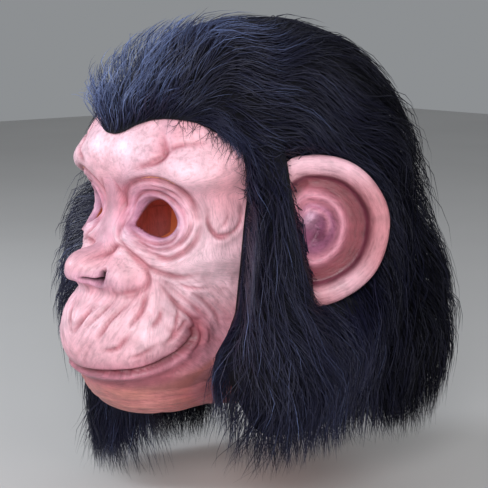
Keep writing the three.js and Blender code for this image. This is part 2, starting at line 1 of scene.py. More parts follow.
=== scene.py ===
import math
import bpy
import numpy as np
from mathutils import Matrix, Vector


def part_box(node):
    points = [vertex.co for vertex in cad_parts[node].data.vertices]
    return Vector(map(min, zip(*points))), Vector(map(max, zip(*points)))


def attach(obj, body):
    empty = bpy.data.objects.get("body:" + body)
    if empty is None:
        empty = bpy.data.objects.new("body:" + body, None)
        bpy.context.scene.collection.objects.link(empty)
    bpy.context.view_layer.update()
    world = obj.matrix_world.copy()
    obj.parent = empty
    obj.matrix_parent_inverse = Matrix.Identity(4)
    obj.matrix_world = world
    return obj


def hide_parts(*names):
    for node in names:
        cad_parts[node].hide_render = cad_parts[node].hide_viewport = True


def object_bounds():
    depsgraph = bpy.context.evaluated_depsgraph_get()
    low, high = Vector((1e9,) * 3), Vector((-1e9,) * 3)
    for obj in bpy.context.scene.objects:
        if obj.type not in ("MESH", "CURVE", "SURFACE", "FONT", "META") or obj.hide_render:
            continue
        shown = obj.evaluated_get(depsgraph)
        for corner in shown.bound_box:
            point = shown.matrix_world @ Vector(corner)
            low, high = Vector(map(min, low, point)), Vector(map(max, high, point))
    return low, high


# Chimp mask: painted latex face and hood, two ears, long dark fur.
# Sizes here are in millimetres and degrees, as in the solids; meshes are made in metres.

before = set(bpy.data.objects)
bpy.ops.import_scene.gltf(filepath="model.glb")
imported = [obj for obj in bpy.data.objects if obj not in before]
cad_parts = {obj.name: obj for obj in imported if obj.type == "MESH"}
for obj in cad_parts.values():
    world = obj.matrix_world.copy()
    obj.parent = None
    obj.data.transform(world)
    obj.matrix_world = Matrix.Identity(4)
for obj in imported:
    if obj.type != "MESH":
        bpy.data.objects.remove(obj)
cadLow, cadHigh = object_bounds()
millimetre = 0.001
rimDrop = -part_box("mask_shell")[0].z / millimetre   # crown to the lower edge of the latex

head = {
    "width": 168, "depth": 208, "height": 250, "wall": 3,
    "browWidth": 138, "muzzleWidth": 106, "muzzleReach": 141, "noseReach": 143, "nostrilSpan": 64,
    "relief": 4, "foldDepth": 1.5, "foldWidth": 2.8, "muzzleFolds": 1.45, "otherFolds": 1.1, "blendReach": 22,
}
furSizes = {"width": 230, "rise": 28, "backReach": 157, "drop": 274, "neckWidth": 140, "neckDepth": 168}

wide, deep, high = head["width"], head["depth"], head["height"]
heart = np.array([0, -0.048 * deep, -0.48 * high])
faceRadius = 0.48 * deep
arcPerDegree = math.radians(faceRadius)


# Small helpers

def smooth(low, top, value):
    t = np.clip((value - low) / (top - low), 0, 1)
    return t * t * (3 - 2 * t)


def bell(distance, width):
    return np.exp(-(distance / width) ** 2)


def softNoise(u, v, seed):
    table = np.random.default_rng(seed).random((64, 64))
    iu, iv = np.floor(u).astype(int), np.floor(v).astype(int)
    fu, fv = u - iu, v - iv
    fu, fv = fu * fu * (3 - 2 * fu), fv * fv * (3 - 2 * fv)
    a, b = table[iu % 64, iv % 64], table[(iu + 1) % 64, iv % 64]
    c, d = table[iu % 64, (iv + 1) % 64], table[(iu + 1) % 64, (iv + 1) % 64]
    return (a * (1 - fu) + b * fu) * (1 - fv) + (c * (1 - fu) + d * fu) * fv


def ridges(u, v, seed):      # sharp valleys, 0 between them and 1 at their floor
    return (1 - np.abs(2 * softNoise(u, v, seed) - 1)) ** 3


def linear(red, green, blue):     # a colour as seen on screen, 0 to 255
    c = np.array([red, green, blue]) / 255
    return np.where(c <= 0.04045, c / 12.92, ((c + 0.055) / 1.055) ** 2.4)


# Rounded masses of the head and of the fur, the same as in the solids

def mass(centre, half, softness=1.0):
    return {"centre": np.array(centre, float), "half": np.array(half, float),
            "softness": softness * head["blendReach"]}


headForms = [
    mass((0, 0.024 * deep, -0.4 * high), (wide / 2, deep / 2, 0.408 * high)),
    mass((0, 0.038 * deep, -0.76 * high), (0.43 * wide, 0.404 * deep, 0.4 * high)),
    mass((0, -0.24 * deep, -0.24 * high), (0.44 * wide, 0.24 * deep, 0.168 * high)),
    mass((0, -0.288 * deep, -0.552 * high), (0.37 * wide, 0.27 * deep, 0.224 * high)),
    mass((0, 0.264 * deep - head["muzzleReach"], -0.76 * high),
         (head["muzzleWidth"] / 2, 0.264 * deep, 0.18 * high), 0.73),
    mass((0, -0.346 * deep, -0.296 * high), (head["browWidth"] / 2, 0.178 * deep, 0.088 * high)),
    mass((0, -0.375 * deep, -0.896 * high), (0.274 * wide, 0.183 * deep, 0.112 * high)),
    mass((0, 0.082 * deep - head["noseReach"], -0.564 * high),
         (0.089 * wide, 0.082 * deep, 0.052 * high), 0.55),
] + [
    mass((side * 0.266 * head["nostrilSpan"], 0.139 * deep - head["noseReach"], -0.584 * high),
         (0.234 * head["nostrilSpan"], 0.072 * deep, 0.052 * high), 0.32)
    for side in (1, -1)
]

furForms = [
    mass((0, 0.05 * deep, -0.39 * high),
         (0.46 * furSizes["width"], 0.61 * deep, furSizes["rise"] + 0.39 * high), 1.36),
    mass((0, furSizes["backReach"] - 0.5 * deep, -0.3 * high),
         (0.41 * furSizes["width"], 0.41 * deep, 0.34 * high), 1.82),
    mass((0, furSizes["backReach"] - 0.54 * deep, -0.71 * furSizes["drop"]),
         (0.487 * furSizes["width"], 0.54 * deep, 0.42 * furSizes["drop"]), 1.82),
] + [
    mass((side * 0.36 * furSizes["width"], -0.1 * deep, -0.62 * furSizes["drop"]),
         (0.178 * furSizes["width"], 0.3 * deep, 0.46 * furSizes["drop"]), 0.91)
    for side in (1, -1)
]


def fieldOf(forms, points):       # about how far each point lies outside the blended masses
    total = None
    for form in forms:
        offset = (points - form["centre"]) / form["half"]
        near = np.sqrt((offset ** 2).sum(-1))
        slope = np.sqrt(((offset / form["half"]) ** 2).sum(-1))
        own = near * (near - 1) / np.maximum(slope, 1e-9)
        if total is None:
            total = own
            continue
        overlap = np.maximum(form["softness"] - np.abs(total - own), 0) / form["softness"]
        total = np.minimum(total, own) - overlap ** 2 * form["softness"] / 4
    return total


def towards(angle, polar):
    a, p = np.radians(angle), np.radians(polar)
    return np.stack([np.sin(a) * np.sin(p), -np.cos(a) * np.sin(p), np.cos(p) + 0 * a], -1)


def castOut(forms, direction, level=0.0):    # where rays from the heart leave the grown masses
    inside = np.zeros(direction.shape[:-1])
    outside = np.full(direction.shape[:-1], 260.0)
    for _ in range(17):
        middle = (inside + outside) / 2
        within = fieldOf(forms, heart + direction * middle[..., None]) < level
        inside, outside = np.where(within, middle, inside), np.where(within, outside, middle)
    return heart + direction * inside[..., None]


def outwardAt(forms, points, reach=0.6):
    slope = np.stack([
        fieldOf(forms, points + step) - fieldOf(forms, points - step) for step in np.eye(3) * reach
    ], -1)
    return slope / np.maximum(np.linalg.norm(slope, axis=-1, keepdims=True), 1e-9)


# Paths and outlines on the face: distance across it from the middle, and drop below the crown

def onFace(path):
    return np.array([(angle * arcPerDegree, drop * high) for angle, drop in path])


def curved(path, count=14):       # a smooth curve through the points
    path = np.asarray(path, float)
    ends = np.vstack([2 * path[0] - path[1], path, 2 * path[-1] - path[-2]])
    spots = np.linspace(0, len(path) - 1, count)
    k = np.minimum(spots.astype(int), len(path) - 2)
    t = (spots - k)[:, None]
    p0, p1, p2, p3 = ends[k], ends[k + 1], ends[k + 2], ends[k + 3]
    return 0.5 * (2 * p1 + (p2 - p0) * t + (2 * p0 - 5 * p1 + 4 * p2 - p3) * t ** 2
                  + (3 * p1 - p0 - 3 * p2 + p3) * t ** 3)


def besidePath(path, across, down):     # distance, share of the way along, side, nearest point
    lengths = np.linalg.norm(np.diff(path, axis=0), axis=1)
    begun = np.concatenate([[0], np.cumsum(lengths)])
    best = np.full(across.shape, 1e9)
    share, side = np.zeros_like(best), np.zeros_like(best)
    nearest = np.zeros(best.shape + (2,))
    for k, length in enumerate(lengths):
        start, step = path[k], path[k + 1] - path[k]
        t = np.clip(((across - start[0]) * step[0] + (down - start[1]) * step[1]) / (step @ step), 0, 1)
        dx, dy = across - start[0] - t * step[0], down - start[1] - t * step[1]
        away = np.hypot(dx, dy)
        closer = away < best
        best = np.where(closer, away, best)
        share = np.where(closer, (begun[k] + t * length) / begun[-1], share)
        side = np.where(closer, np.sign(step[0] * dy - step[1] * dx), side)
        nearest[closer] = np.stack([start[0] + t * step[0], start[1] + t * step[1]], -1)[closer]
    return best, share, side, nearest


def withinOutline(outline, across, down):
    inside = np.zeros(across.shape, bool)
    for (x0, y0), (x1, y1) in zip(outline, np.roll(outline, -1, axis=0)):
        crosses = (y0 > down) != (y1 > down)
        with np.errstate(divide="ignore", invalid="ignore"):
            inside ^= crosses & (across < (x1 - x0) * (down - y0) / (y1 - y0) + x0)
    return inside


def ringOf(points):     # a smooth closed outline through the points
    points = np.asarray(points, float)
    wrapped = np.vstack([points[-2:], points, points[:3]])
    fine = 8
    ring = curved(wrapped, (len(wrapped) - 1) * fine + 1)
    return ring[2 * fine:(2 + len(points)) * fine]


# The eye holes and the nostrils

eyeHole = {"spacing": 76, "drop": 107, "width": 34, "height": 23, "lidRoll": 3.4}
eyeShape = [
    (-1, -0.26), (-0.83, 0.35), (-0.48, 0.82), (-0.07, 1), (0.39, 0.93), (0.77, 0.5),
    (1, -0.14), (0.85, -0.68), (0.49, -1), (-0.02, -0.89), (-0.58, -0.56),
]
eyeRing = ringOf([
    (eyeHole["spacing"] / 2 + x * eyeHole["width"] / 2, eyeHole["drop"] - y * eyeHole["height"] / 2)
    for x, y in eyeShape
])
eyeLoop = np.vstack([eyeRing, eyeRing[:1]])
nostril = {
    "wide": 1.9, "deep": 4.4,
    "line": curved([(8, 146.6), (11, 148), (14.2, 147.4), (16.2, 144.8), (16.4, 141)]),
}


def otherSide(outline):
    return (outline * (-1, 1))[::-1]


# Relief of the face, on both sides: degrees from the front, drop as a share of the mask's height

swellings = [      # name, degrees, drop, half width, half height, tilt, rise
    ("inner brow", 13, 0.24, 0.072, 0.048, 0, 0.8),
    ("outer brow", 37, 0.3, 0.08, 0.04, -12, 1.1),
    ("brow dent", 27, 0.244, 0.026, 0.038, 25, -0.7),
    ("glabella", 0, 0.336, 0.028, 0.064, 0, -0.4),
    ("eye socket", 21, 0.4, 0.088, 0.056, 0, -1.6),
    ("eye pad", 22, 0.432, 0.068, 0.052, 0, 1),
    ("inner corner", 9, 0.416, 0.028, 0.052, 0, -0.9),
    ("bridge pad", 11, 0.496, 0.048, 0.036, -20, 0.75),
    ("wing dent", 7, 0.516, 0.016, 0.028, 30, -0.8),
    ("temple pad", 52, 0.416, 0.052, 0.052, 0, 1),
    ("cheek bone", 38, 0.536, 0.088, 0.048, -20, 0.6),
    ("cheek hollow", 47, 0.68, 0.056, 0.104, 15, -0.9),
    ("muzzle side", 27, 0.72, 0.064, 0.072, 0, 0.4),
    ("corner pad", 43, 0.736, 0.024, 0.056, -10, 0.7),
    ("chin dent", 0, 0.896, 0.16, 0.028, 0, -0.5),
    ("under nose", 0, 0.615, 0.104, 0.02, 0, -0.5),
]

lipLine = [(-6, 0.848), (0, 0.848), (8, 0.842), (15, 0.835), (21, 0.828), (25.5, 0.816), (31, 0.794),
           (35.5, 0.772), (38.3, 0.744), (37.5, 0.724)]

folds = [      # name, width, depth, raised lip, path
    ("upper lid", 0.45, 1.1, 0.5, [
        (11, 0.428), (12, 0.396), (15.5, 0.37), (20.5, 0.356), (26, 0.362), (30.5, 0.382), (34, 0.408),
        (35.5, 0.436)]),
    ("second lid", 0.4, 0.65, 0.4, [
        (15, 0.35), (20.5, 0.338), (27, 0.344), (32, 0.364), (36, 0.396)]),
    ("brow", 0.86, 1.9, 0.2, [
        (6.5, 0.396), (7.5, 0.368), (11, 0.346), (18, 0.324), (25.5, 0.318), (31, 0.328), (35.5, 0.352),
        (38.5, 0.388), (39.5, 0.42)]),
    ("first under the eye", 0.45, 1.15, 0.5, [
        (12.5, 0.452), (17.5, 0.473), (23, 0.487), (27, 0.488), (31, 0.476), (33.3, 0.444)]),
    ("second under the eye", 0.45, 1.05, 0.5, [
        (14.5, 0.472), (19.5, 0.49), (24, 0.503), (28.5, 0.503), (33, 0.488), (36.5, 0.46), (37.5, 0.424)]),
    ("third under the eye", 0.55, 1.05, 0.5, [
        (17, 0.49), (23, 0.513), (28.5, 0.528), (33.5, 0.516), (39, 0.484), (41, 0.448)]),
    ("temple", 0.6, 1.15, 0.4, [
        (44, 0.4), (44.3, 0.44), (48.5, 0.472), (55, 0.462), (58.5, 0.432), (59, 0.396)]),
    ("second temple", 0.4, 0.55, 0.5, [
        (47.5, 0.458), (51, 0.44), (52.5, 0.41), (52.2, 0.39)]),
    ("nose to cheek", 0.56, 1.1, 0.4, [
        (9, 0.424), (8, 0.464), (10.8, 0.49), (15, 0.517), (19, 0.54), (23.5, 0.558), (28.5, 0.57),
        (34, 0.578), (40, 0.572)]),
    ("upper cheek", 0.5, 0.9, 0.5, [
        (26.3, 0.58), (30.5, 0.614), (35, 0.642), (39, 0.672), (43.2, 0.703)]),
    ("lower cheek", 0.5, 0.95, 0.5, [
        (25, 0.59), (28, 0.62), (32.5, 0.662), (37, 0.694), (39.5, 0.732)]),
    ("side cheek", 0.43, 0.7, 0.5, [
        (33, 0.598), (38, 0.612), (44, 0.62)]),
    ("jaw cheek", 0.45, 0.7, 0.5, [
        (38, 0.63), (43, 0.66), (48, 0.7), (50.5, 0.745)]),
    ("lip corner", 0.6, 1.3, 0.4, [
        (36.5, 0.688), (40, 0.72), (40.5, 0.758), (37.5, 0.792)]),
    ("beside the corner", 0.5, 0.8, 0.4, [
        (39.8, 0.7), (43.2, 0.735), (43.8, 0.77)]),
    ("muzzle 1", 0.42, 1, 0.4, [
        (6.8, 0.656), (4.5, 0.678), (2.8, 0.704), (0.8, 0.736)]),
    ("muzzle 2", 0.42, 1.05, 0.4, [
        (15.8, 0.646), (14.2, 0.67), (12.8, 0.688), (11.5, 0.716), (10.2, 0.736)]),
    ("muzzle 3", 0.42, 1, 0.4, [
        (21, 0.628), (21, 0.66), (20.3, 0.68), (19, 0.7)]),
    ("muzzle 4", 0.45, 1.05, 0.4, [
        (26.8, 0.667), (26.3, 0.688), (25, 0.708)]),
    ("muzzle 5", 0.4, 0.9, 0.4, [
        (32, 0.664), (31.5, 0.708), (30.5, 0.736)]),
    ("muzzle 6", 0.45, 1.05, 0.4, [
        (34.5, 0.7), (32, 0.728), (29, 0.752)]),
    ("muzzle 7", 0.4, 0.9, 0.4, [
        (19.5, 0.72), (18, 0.74), (16, 0.76), (12, 0.77)]),
    ("muzzle 8", 0.4, 0.8, 0.4, [
        (10.5, 0.65), (8.8, 0.678), (6, 0.71)]),
    ("muzzle 9", 0.4, 0.8, 0.4, [
        (27, 0.75), (23.5, 0.772), (20, 0.786)]),
    ("lips", 0.62, 3.2, 0.35, lipLine),
    ("lower lip", 1.1, 1.3, 0.2, [
        (-6, 0.888), (0, 0.888), (8, 0.882), (15, 0.872), (21, 0.864), (27, 0.852), (33, 0.832),
        (38.5, 0.802)]),
    ("forehead bend", 0.9, 1.4, 0.2, [
        (25.5, 0.2), (28.5, 0.248), (24, 0.276), (18, 0.29)]),
    ("forehead side", 0.8, 0.9, 0.2, [
        (28.5, 0.248), (34, 0.228), (44.5, 0.218)]),
    ("bridge", 0.55, 0.8, 0.3, [
        (4.5, 0.336), (6, 0.376), (6.5, 0.424)]),
    ("wing top", 0.6, 1, 0.2, [
        (4.6, 0.535), (6.2, 0.513), (9.5, 0.503), (13.5, 0.508)]),
    ("wing side", 0.7, 1.1, 0.2, [
        (17.5, 0.53), (21, 0.56), (21.5, 0.595), (17.5, 0.622), (10, 0.632)]),
    ("nostril", 0.55, 2.6, 0.3, [
        (4.6, 0.588), (7, 0.592), (9.3, 0.582), (9.6, 0.56)]),
]
foldCurves = {fold[0]: curved(onFace(fold[4]), 18) for fold in folds}

wrinkleLook = {"aroundEyes": 0.85, "muzzle": 0.75, "cheek": 0.9, "chin": 0.85, "forehead": 0.3}


def swellingHeight(across, down):
    height = np.zeros_like(across)
    for _, angle, drop, halfWidth, halfHeight, tilt, rise in swellings:
        cosine, sine = math.cos(math.radians(tilt)), math.sin(math.radians(tilt))
        dx, dy = np.abs(across) - angle * arcPerDegree, down - drop * high
        u = (dx * cosine - dy * sine) / (halfWidth * high)
        v = (dx * sine + dy * cosine) / (halfHeight * high)
        height += rise * head["relief"] * np.exp(-(u * u + v * v))
    lips = besidePath(foldCurves["lips"], np.abs(across), down)[0]
    return height - 0.6 * head["relief"] * bell(lips, 2 * head["foldWidth"])


def foldHeight(across, down):     # height, and how deep in a crease each point lies, 0 to 1
    height, depth = np.zeros_like(across), np.zeros_like(across)
    x = np.abs(across)
    for seed, (name, breadth, cut, lip, _) in enumerate(folds):
        curve = foldCurves[name]
        width = breadth * head["foldWidth"]
        (x0, y0), (x1, y1) = curve.min(0) - 6 * width, curve.max(0) + 6 * width
        near = (x > x0) & (x < x1) & (down > y0) & (down < y1)
        away, share, side, _ = besidePath(curve, x[near], down[near])
        unevenness = softNoise(share * 5 + 3 * (across[near] < 0), share * 0 + seed, 11)
        ends = np.sin(np.pi * np.clip(share, 0.03, 0.97)) ** 0.5
        amount = cut * head["foldDepth"] * ends * (0.65 + 0.7 * unevenness)
        amount *= head["muzzleFolds"] if name.startswith("muzzle") else head["otherFolds"]
        width = width * (0.8 + 0.4 * softNoise(share * 4, share * 0 + 7 * seed, 12))
        lipHeight = lip * amount * bell(away - 2 * width, 1.5 * width) * (1 + 0.45 * side)
        height[near] += lipHeight - amount * bell(away, width)
        strength = np.minimum(amount / head["foldDepth"], 1.4) * bell(away, 1.1 * width)
        depth[near] = np.maximum(depth[near], strength)
    return height, depth


def lidHeight(across, down):      # the lids roll in at the hole
    away = besidePath(eyeLoop, np.abs(across), down)[0]
    roll = eyeHole["lidRoll"]
    inside = np.clip(roll - away, 0, roll)
    edge = np.sqrt(np.maximum(roll ** 2 - inside ** 2, 0)) - roll
    return edge + 1.3 * bell(away - 4.2, 2.4), away


def nostrilHeight(across, down):
    away, share = besidePath(nostril["line"], np.abs(across), down)[:2]
    narrow = nostril["wide"] * (0.75 + 0.25 * np.sin(np.pi * np.clip(share, 0, 1)))
    return 0.7 * bell(away - 3.4, 1.3) - nostril["deep"] * bell(away, narrow)


def wrinkleHeight(across, down, eyeAway):
    x = np.abs(across)
    turn = np.arctan2(down - eyeHole["drop"], x - eyeHole["spacing"] / 2)
    lean = across * 0.02
    outer = smooth(-0.75, 0.4, np.cos(turn - 0.45))
    aroundEyes = outer * smooth(2.5, 5, eyeAway) * smooth(24, 12, eyeAway)
    below = smooth(0.58, 0.63, down / high)
    muzzle = below * smooth(74, 62, x) * smooth(0.84, 0.8, down / high)
    cheek = smooth(40, 56, x) * smooth(0.53, 0.6, down / high) * smooth(0.86, 0.76, down / high)
    chin = smooth(0.865, 0.885, down / high)
    forehead = smooth(0.31, 0.26, down / high)
    slant = 0.32 * (1 - x / 60)
    height = (
        wrinkleLook["aroundEyes"] * aroundEyes * ridges(eyeAway / 2.9 + lean, turn * 2.2 + 9, 21)
        + wrinkleLook["muzzle"] * muzzle * (1 - cheek)
        * ridges((x + slant * (down - 160) * 1.5) / 4.6 + 31, down / 30 + 5, 22)
        + wrinkleLook["cheek"] * cheek * ridges((x * 0.72 - down * 0.7) / 4 + 60, (x + down) / 26, 23)
        + wrinkleLook["chin"] * chin * ridges(across / 26 + 8, down / 3, 24)
        + wrinkleLook["forehead"] * forehead * ridges(across / 4.5 + 40, down / 4.5, 25)
    )
    return -height


def skinAt(angle, polar):
    base = castOut(headForms, towards(angle, polar))
    across, down = np.asarray(angle) * arcPerDegree + 0 * base[..., 0], -base[..., 2]
    across = (across + 180 * arcPerDegree) % (360 * arcPerDegree) - 180 * arcPerDegree
    onFront = smooth(76 * arcPerDegree, 62 * arcPerDegree, np.abs(across))
    creases, creased = foldHeight(across, down)
    lids, eyeAway = lidHeight(across, down)
    broad = swellingHeight(across, down)
    wrinkles = wrinkleHeight(across, down, eyeAway)
    normal = outwardAt(headForms, base)
    inner = castOut(headForms, towards(angle, polar), -head["wall"])
    nostrils = nostrilHeight(across, down)
    height = broad + onFront * (creases + lids + nostrils + wrinkles)
    innerHeight = broad + onFront * (nostrils + np.minimum(creases, 0)) - 1.6 * bell(eyeAway, 4)
    return {
        "outside": base + normal * height[..., None],
        "inside": inner + normal * innerHeight[..., None],
        "across": across, "down": down, "creased": creased * onFront, "eyeAway": eyeAway,
        "broad": broad, "fine": -wrinkles * onFront,
    }


# Closed walls made from a grid round the heart, with outlines cut out of it

def dropAt(angle, polar):
    return -castOut(headForms, towards(angle, polar))[..., 2]


def polarAtDrop(angle, drop, low, top, rounds):
    low, top = np.full(angle.shape, float(low)), np.full(angle.shape, float(top))
    for _ in range(rounds):
        middle = (low + top) / 2
        above = dropAt(angle, middle) < drop
        low, top = np.where(above, middle, low), np.where(above, top, middle)
    return low


def snapToOutlines(angle, polar, outlines, reach):
    down = dropAt(angle, polar)
    inside = np.zeros(angle.shape, bool)
    snapped = np.zeros(angle.shape, bool)
    for outline in outlines:
        loop = np.vstack([outline, outline[:1]])
        low, top = outline.min(0) - 6, outline.max(0) + 6
        across = angle * arcPerDegree
        near = (across > low[0]) & (across < top[0]) & (down > low[1]) & (down < top[1])
        away, _, _, nearest = besidePath(loop, across[near], down[near])
        within = withinOutline(outline, across[near], down[near])
        close = away < reach
        where = np.flatnonzero(near)
        moved = where[close]
        target = nearest[close]
        angle[moved] = target[:, 0] / arcPerDegree
        for _ in range(3):
            now, ahead = dropAt(angle[moved], polar[moved]), dropAt(angle[moved], polar[moved] + 0.05)
            polar[moved] += (target[:, 1] - now) / ((ahead - now) / 0.05)
        snapped[moved] = True
        inside[where[within & ~close]] = True
    return inside, snapped


def keptFaces(quads, inside, snapped, angle, polar, outlines):
    count = inside[quads].sum(1)
    whole = quads[count == 0]
    corner = quads[count == 1]
    middle = np.stack([angle[whole].mean(1) * arcPerDegree, dropAt(angle[whole].mean(1), polar[whole].mean(1))])
    allSnapped = snapped[whole].sum(1) >= 3
    dropped = np.zeros(len(whole), bool)
    for outline in outlines:
        dropped |= allSnapped & withinOutline(outline, middle[0], middle[1])
    triangles = []
    for face in corner:
        k = int(np.flatnonzero(inside[face])[0])
        triangle = [int(face[(k + 1) % 4]), int(face[(k + 2) % 4]), int(face[(k + 3) % 4])]
        if not (snapped[triangle].all()):
            triangles.append(triangle)
    return [[int(v) for v in face] for face in whole[~dropped]] + triangles


def wallFaces(faces, count):      # the inside is the same grid; open edges are joined by strips
    edges = dict.fromkeys((a, b) for face in faces for a, b in zip(face, face[1:] + face[:1]))
    strips = [[b, a, a + count, b + count] for a, b in edges if (b, a) not in edges]
    return faces, [[v + count for v in face[::-1]] for face in faces], strips


def gridOf(angles, polars):       # polars has one row of steps for each angle
    columns, rows = polars.shape
    index = np.arange(columns * rows).reshape(columns, rows)
    after = np.roll(index, -1, axis=0)
    quads = np.stack([index[:, :-1], index[:, 1:], after[:, 1:], after[:, :-1]], -1).reshape(-1, 4)
    pole = columns * rows
    cap = [[pole, int(index[c, 0]), int(after[c, 0])] for c in range(columns)]
    angle = np.append(np.repeat(angles, rows), 0.0)
    polar = np.append(polars.ravel(), 0.0)
    return angle, polar, quads, cap


def placed(name, data):
    thing = bpy.data.objects.new(name, data)
    bpy.context.collection.objects.link(thing)
    return thing


def meshFrom(name, points, faces, materials, attributes, faceMaterials=None):
    used = np.unique(np.concatenate([np.asarray(face) for face in faces]))
    renumber = np.full(len(points), -1)
    renumber[used] = np.arange(len(used))
    mesh = bpy.data.meshes.new(name)
    mesh.from_pydata((points[used] * millimetre).tolist(), [], [renumber[face].tolist() for face in faces])
    mesh.update()
    for material in materials:
        mesh.materials.append(material)
    mesh.polygons.foreach_set("use_smooth", np.ones(len(mesh.polygons), bool))
    if faceMaterials is not None:
        mesh.polygons.foreach_set("material_index", np.asarray(faceMaterials, np.int32))
    for key, values in attributes.items():
        values = np.asarray(values, np.float32)[used]
        if values.shape[1] == 3:
            mesh.attributes.new(key, "FLOAT_VECTOR", "POINT").data.foreach_set("vector", values.ravel())
        else:
            mesh.attributes.new(key, "FLOAT_COLOR", "POINT").data.foreach_set("color", values.ravel())
    return placed(name, mesh)


def finished(piece, node):
    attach(piece, "root")
    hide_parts(node)
    return piece


# Materials

def newMaterial(name):
    material = bpy.data.materials.new(name)
    material.use_nodes = True
    nodes, links = material.node_tree.nodes, material.node_tree.links
    return material, nodes, links, nodes["Principled BSDF"]


def attributeNode(nodes, name):
    node = nodes.new("ShaderNodeAttribute")
    node.attribute_name = name
    return node


def noiseNode(nodes, links, vector, scale, detail=3, roughness=0.5):
    node = nodes.new("ShaderNodeTexNoise")
    node.inputs["Scale"].default_value = scale
    node.inputs["Detail"].default_value = detail
    node.inputs["Roughness"].default_value = roughness
    links.new(vector, node.inputs["Vector"])
    return node


def rampNode(nodes, links, factor, stops):      # stops: place along the ramp and colour
    node = nodes.new("ShaderNodeValToRGB")
    elements = node.color_ramp.elements
    for element, (position, colour) in zip(elements, (stops[0], stops[-1])):
        element.position = position
        element.color = (*colour, 1)
    for position, colour in stops[1:-1]:
        elements.new(position).color = (*colour, 1)
    links.new(factor, node.inputs["Fac"])
    return node.outputs["Color"]


def rangeNode(nodes, links, value, fromLow, fromHigh, toLow, toHigh):
    node = nodes.new("ShaderNodeMapRange")
    for key, number in zip(("From Min", "From Max", "To Min", "To Max"), (fromLow, fromHigh, toLow, toHigh)):
        node.inputs[key].default_value = number
    links.new(value, node.inputs["Value"])
    return node.outputs[0]


def bumpNode(nodes, links, height, distance, before=None):
    node = nodes.new("ShaderNodeBump")
    node.inputs["Distance"].default_value = distance
    links.new(height, node.inputs["Height"])
    if before is not None:
        links.new(before, node.inputs["Normal"])
    return node.outputs["Normal"]


latexLook = {
    "roughness": (0.36, 0.58), "poreBump": 0.0002, "lineBump": 0.0007, "mottle": 0.2,
    "coat": 0.12, "coatRoughness": 0.3,
    "bare": ((240, 158, 112), (252, 196, 150)), "bareRoughness": 0.55, "bareBump": 0.0003,
    "glow": (226, 128, 84), "glowStrength": 0.06,      # painted glow: emission that stands in for light coming through the thin wall
}


def paintedLatex():
    material, nodes, links, shader = newMaterial("paintedLatex")
    place = nodes.new("ShaderNodeTexCoord").outputs["Object"]
    paint = attributeNode(nodes, "paint")
    flow = attributeNode(nodes, "flow")
    blotches = noiseNode(nodes, links, place, 90, 4, 0.6)
    pores = noiseNode(nodes, links, place, 900, 2)
    lines = noiseNode(nodes, links, flow.outputs["Vector"], 1.0, 3, 0.6)
    mottle = rangeNode(nodes, links, blotches.outputs["Fac"], 0.3, 0.7,
                       1 - latexLook["mottle"], 1 + latexLook["mottle"])
    lineShade = rangeNode(nodes, links, lines.outputs["Fac"], 0.34, 0.52, 0.8, 1.04)
    shade = nodes.new("ShaderNodeMath")
    shade.operation = "MULTIPLY"
    links.new(mottle, shade.inputs[0])
    links.new(lineShade, shade.inputs[1])
    tinted = nodes.new("ShaderNodeVectorMath")
    tinted.operation = "SCALE"
    links.new(paint.outputs["Color"], tinted.inputs[0])
    links.new(shade.outputs[0], tinted.inputs["Scale"])
    links.new(tinted.outputs[0], shader.inputs["Base Color"])
    links.new(rangeNode(nodes, links, blotches.outputs["Fac"], 0.3, 0.7, *latexLook["roughness"]),
              shader.inputs["Roughness"])
    fine = bumpNode(nodes, links, pores.outputs["Fac"], latexLook["poreBump"])
    links.new(bumpNode(nodes, links, lines.outputs["Fac"], latexLook["lineBump"], before=fine),
              shader.inputs["Normal"])
    shader.inputs["Coat Weight"].default_value = latexLook["coat"]
    shader.inputs["Coat Roughness"].default_value = latexLook["coatRoughness"]
    return material


def bareLatex():
    material, nodes, links, shader = newMaterial("bareLatex")
    place = nodes.new("ShaderNodeTexCoord").outputs["Object"]
    clouds = noiseNode(nodes, links, place, 45, 4, 0.6)
    dark, light = (linear(*colour) for colour in latexLook["bare"])
    links.new(rampNode(nodes, links, clouds.outputs["Fac"], [(0, dark), (1, light)]), shader.inputs["Base Color"])
    shader.inputs["Roughness"].default_value = latexLook["bareRoughness"]
    # painted glow: the bare inside gives off a little light, standing in for light that comes through its thin wall
    shader.inputs["Emission Color"].default_value = (*linear(*latexLook["glow"]), 1)
    shader.inputs["Emission Strength"].default_value = latexLook["glowStrength"]
    fine = noiseNode(nodes, links, place, 500, 2)
    links.new(bumpNode(nodes, links, fine.outputs["Fac"], latexLook["bareBump"]), shader.inputs["Normal"])
    return material


furLook = {
    "dark": (5, 5, 10), "usual": (34, 35, 62), "light": (120, 138, 188), "usualAt": 0.55, "roughness": 0.42,
    "gloss": (0.06, 0.42), "backing": ((3, 3, 6), (24, 24, 40)), "backingRoughness": 0.7, "backingGloss": 0.2,
    "backingBump": 0.0016,
}


def strandFur():
    material, nodes, links, shader = newMaterial("strandFur")
    shade = attributeNode(nodes, "shade").outputs["Fac"]
    stops = [(0, linear(*furLook["dark"])), (furLook["usualAt"], linear(*furLook["usual"])),
             (1, linear(*furLook["light"]))]
    links.new(rampNode(nodes, links, shade, stops), shader.inputs["Base Color"])
    shader.inputs["Roughness"].default_value = furLook["roughness"]
    links.new(rangeNode(nodes, links, shade, 0, 0.5, *furLook["gloss"]), shader.inputs["Specular IOR Level"])
    return material


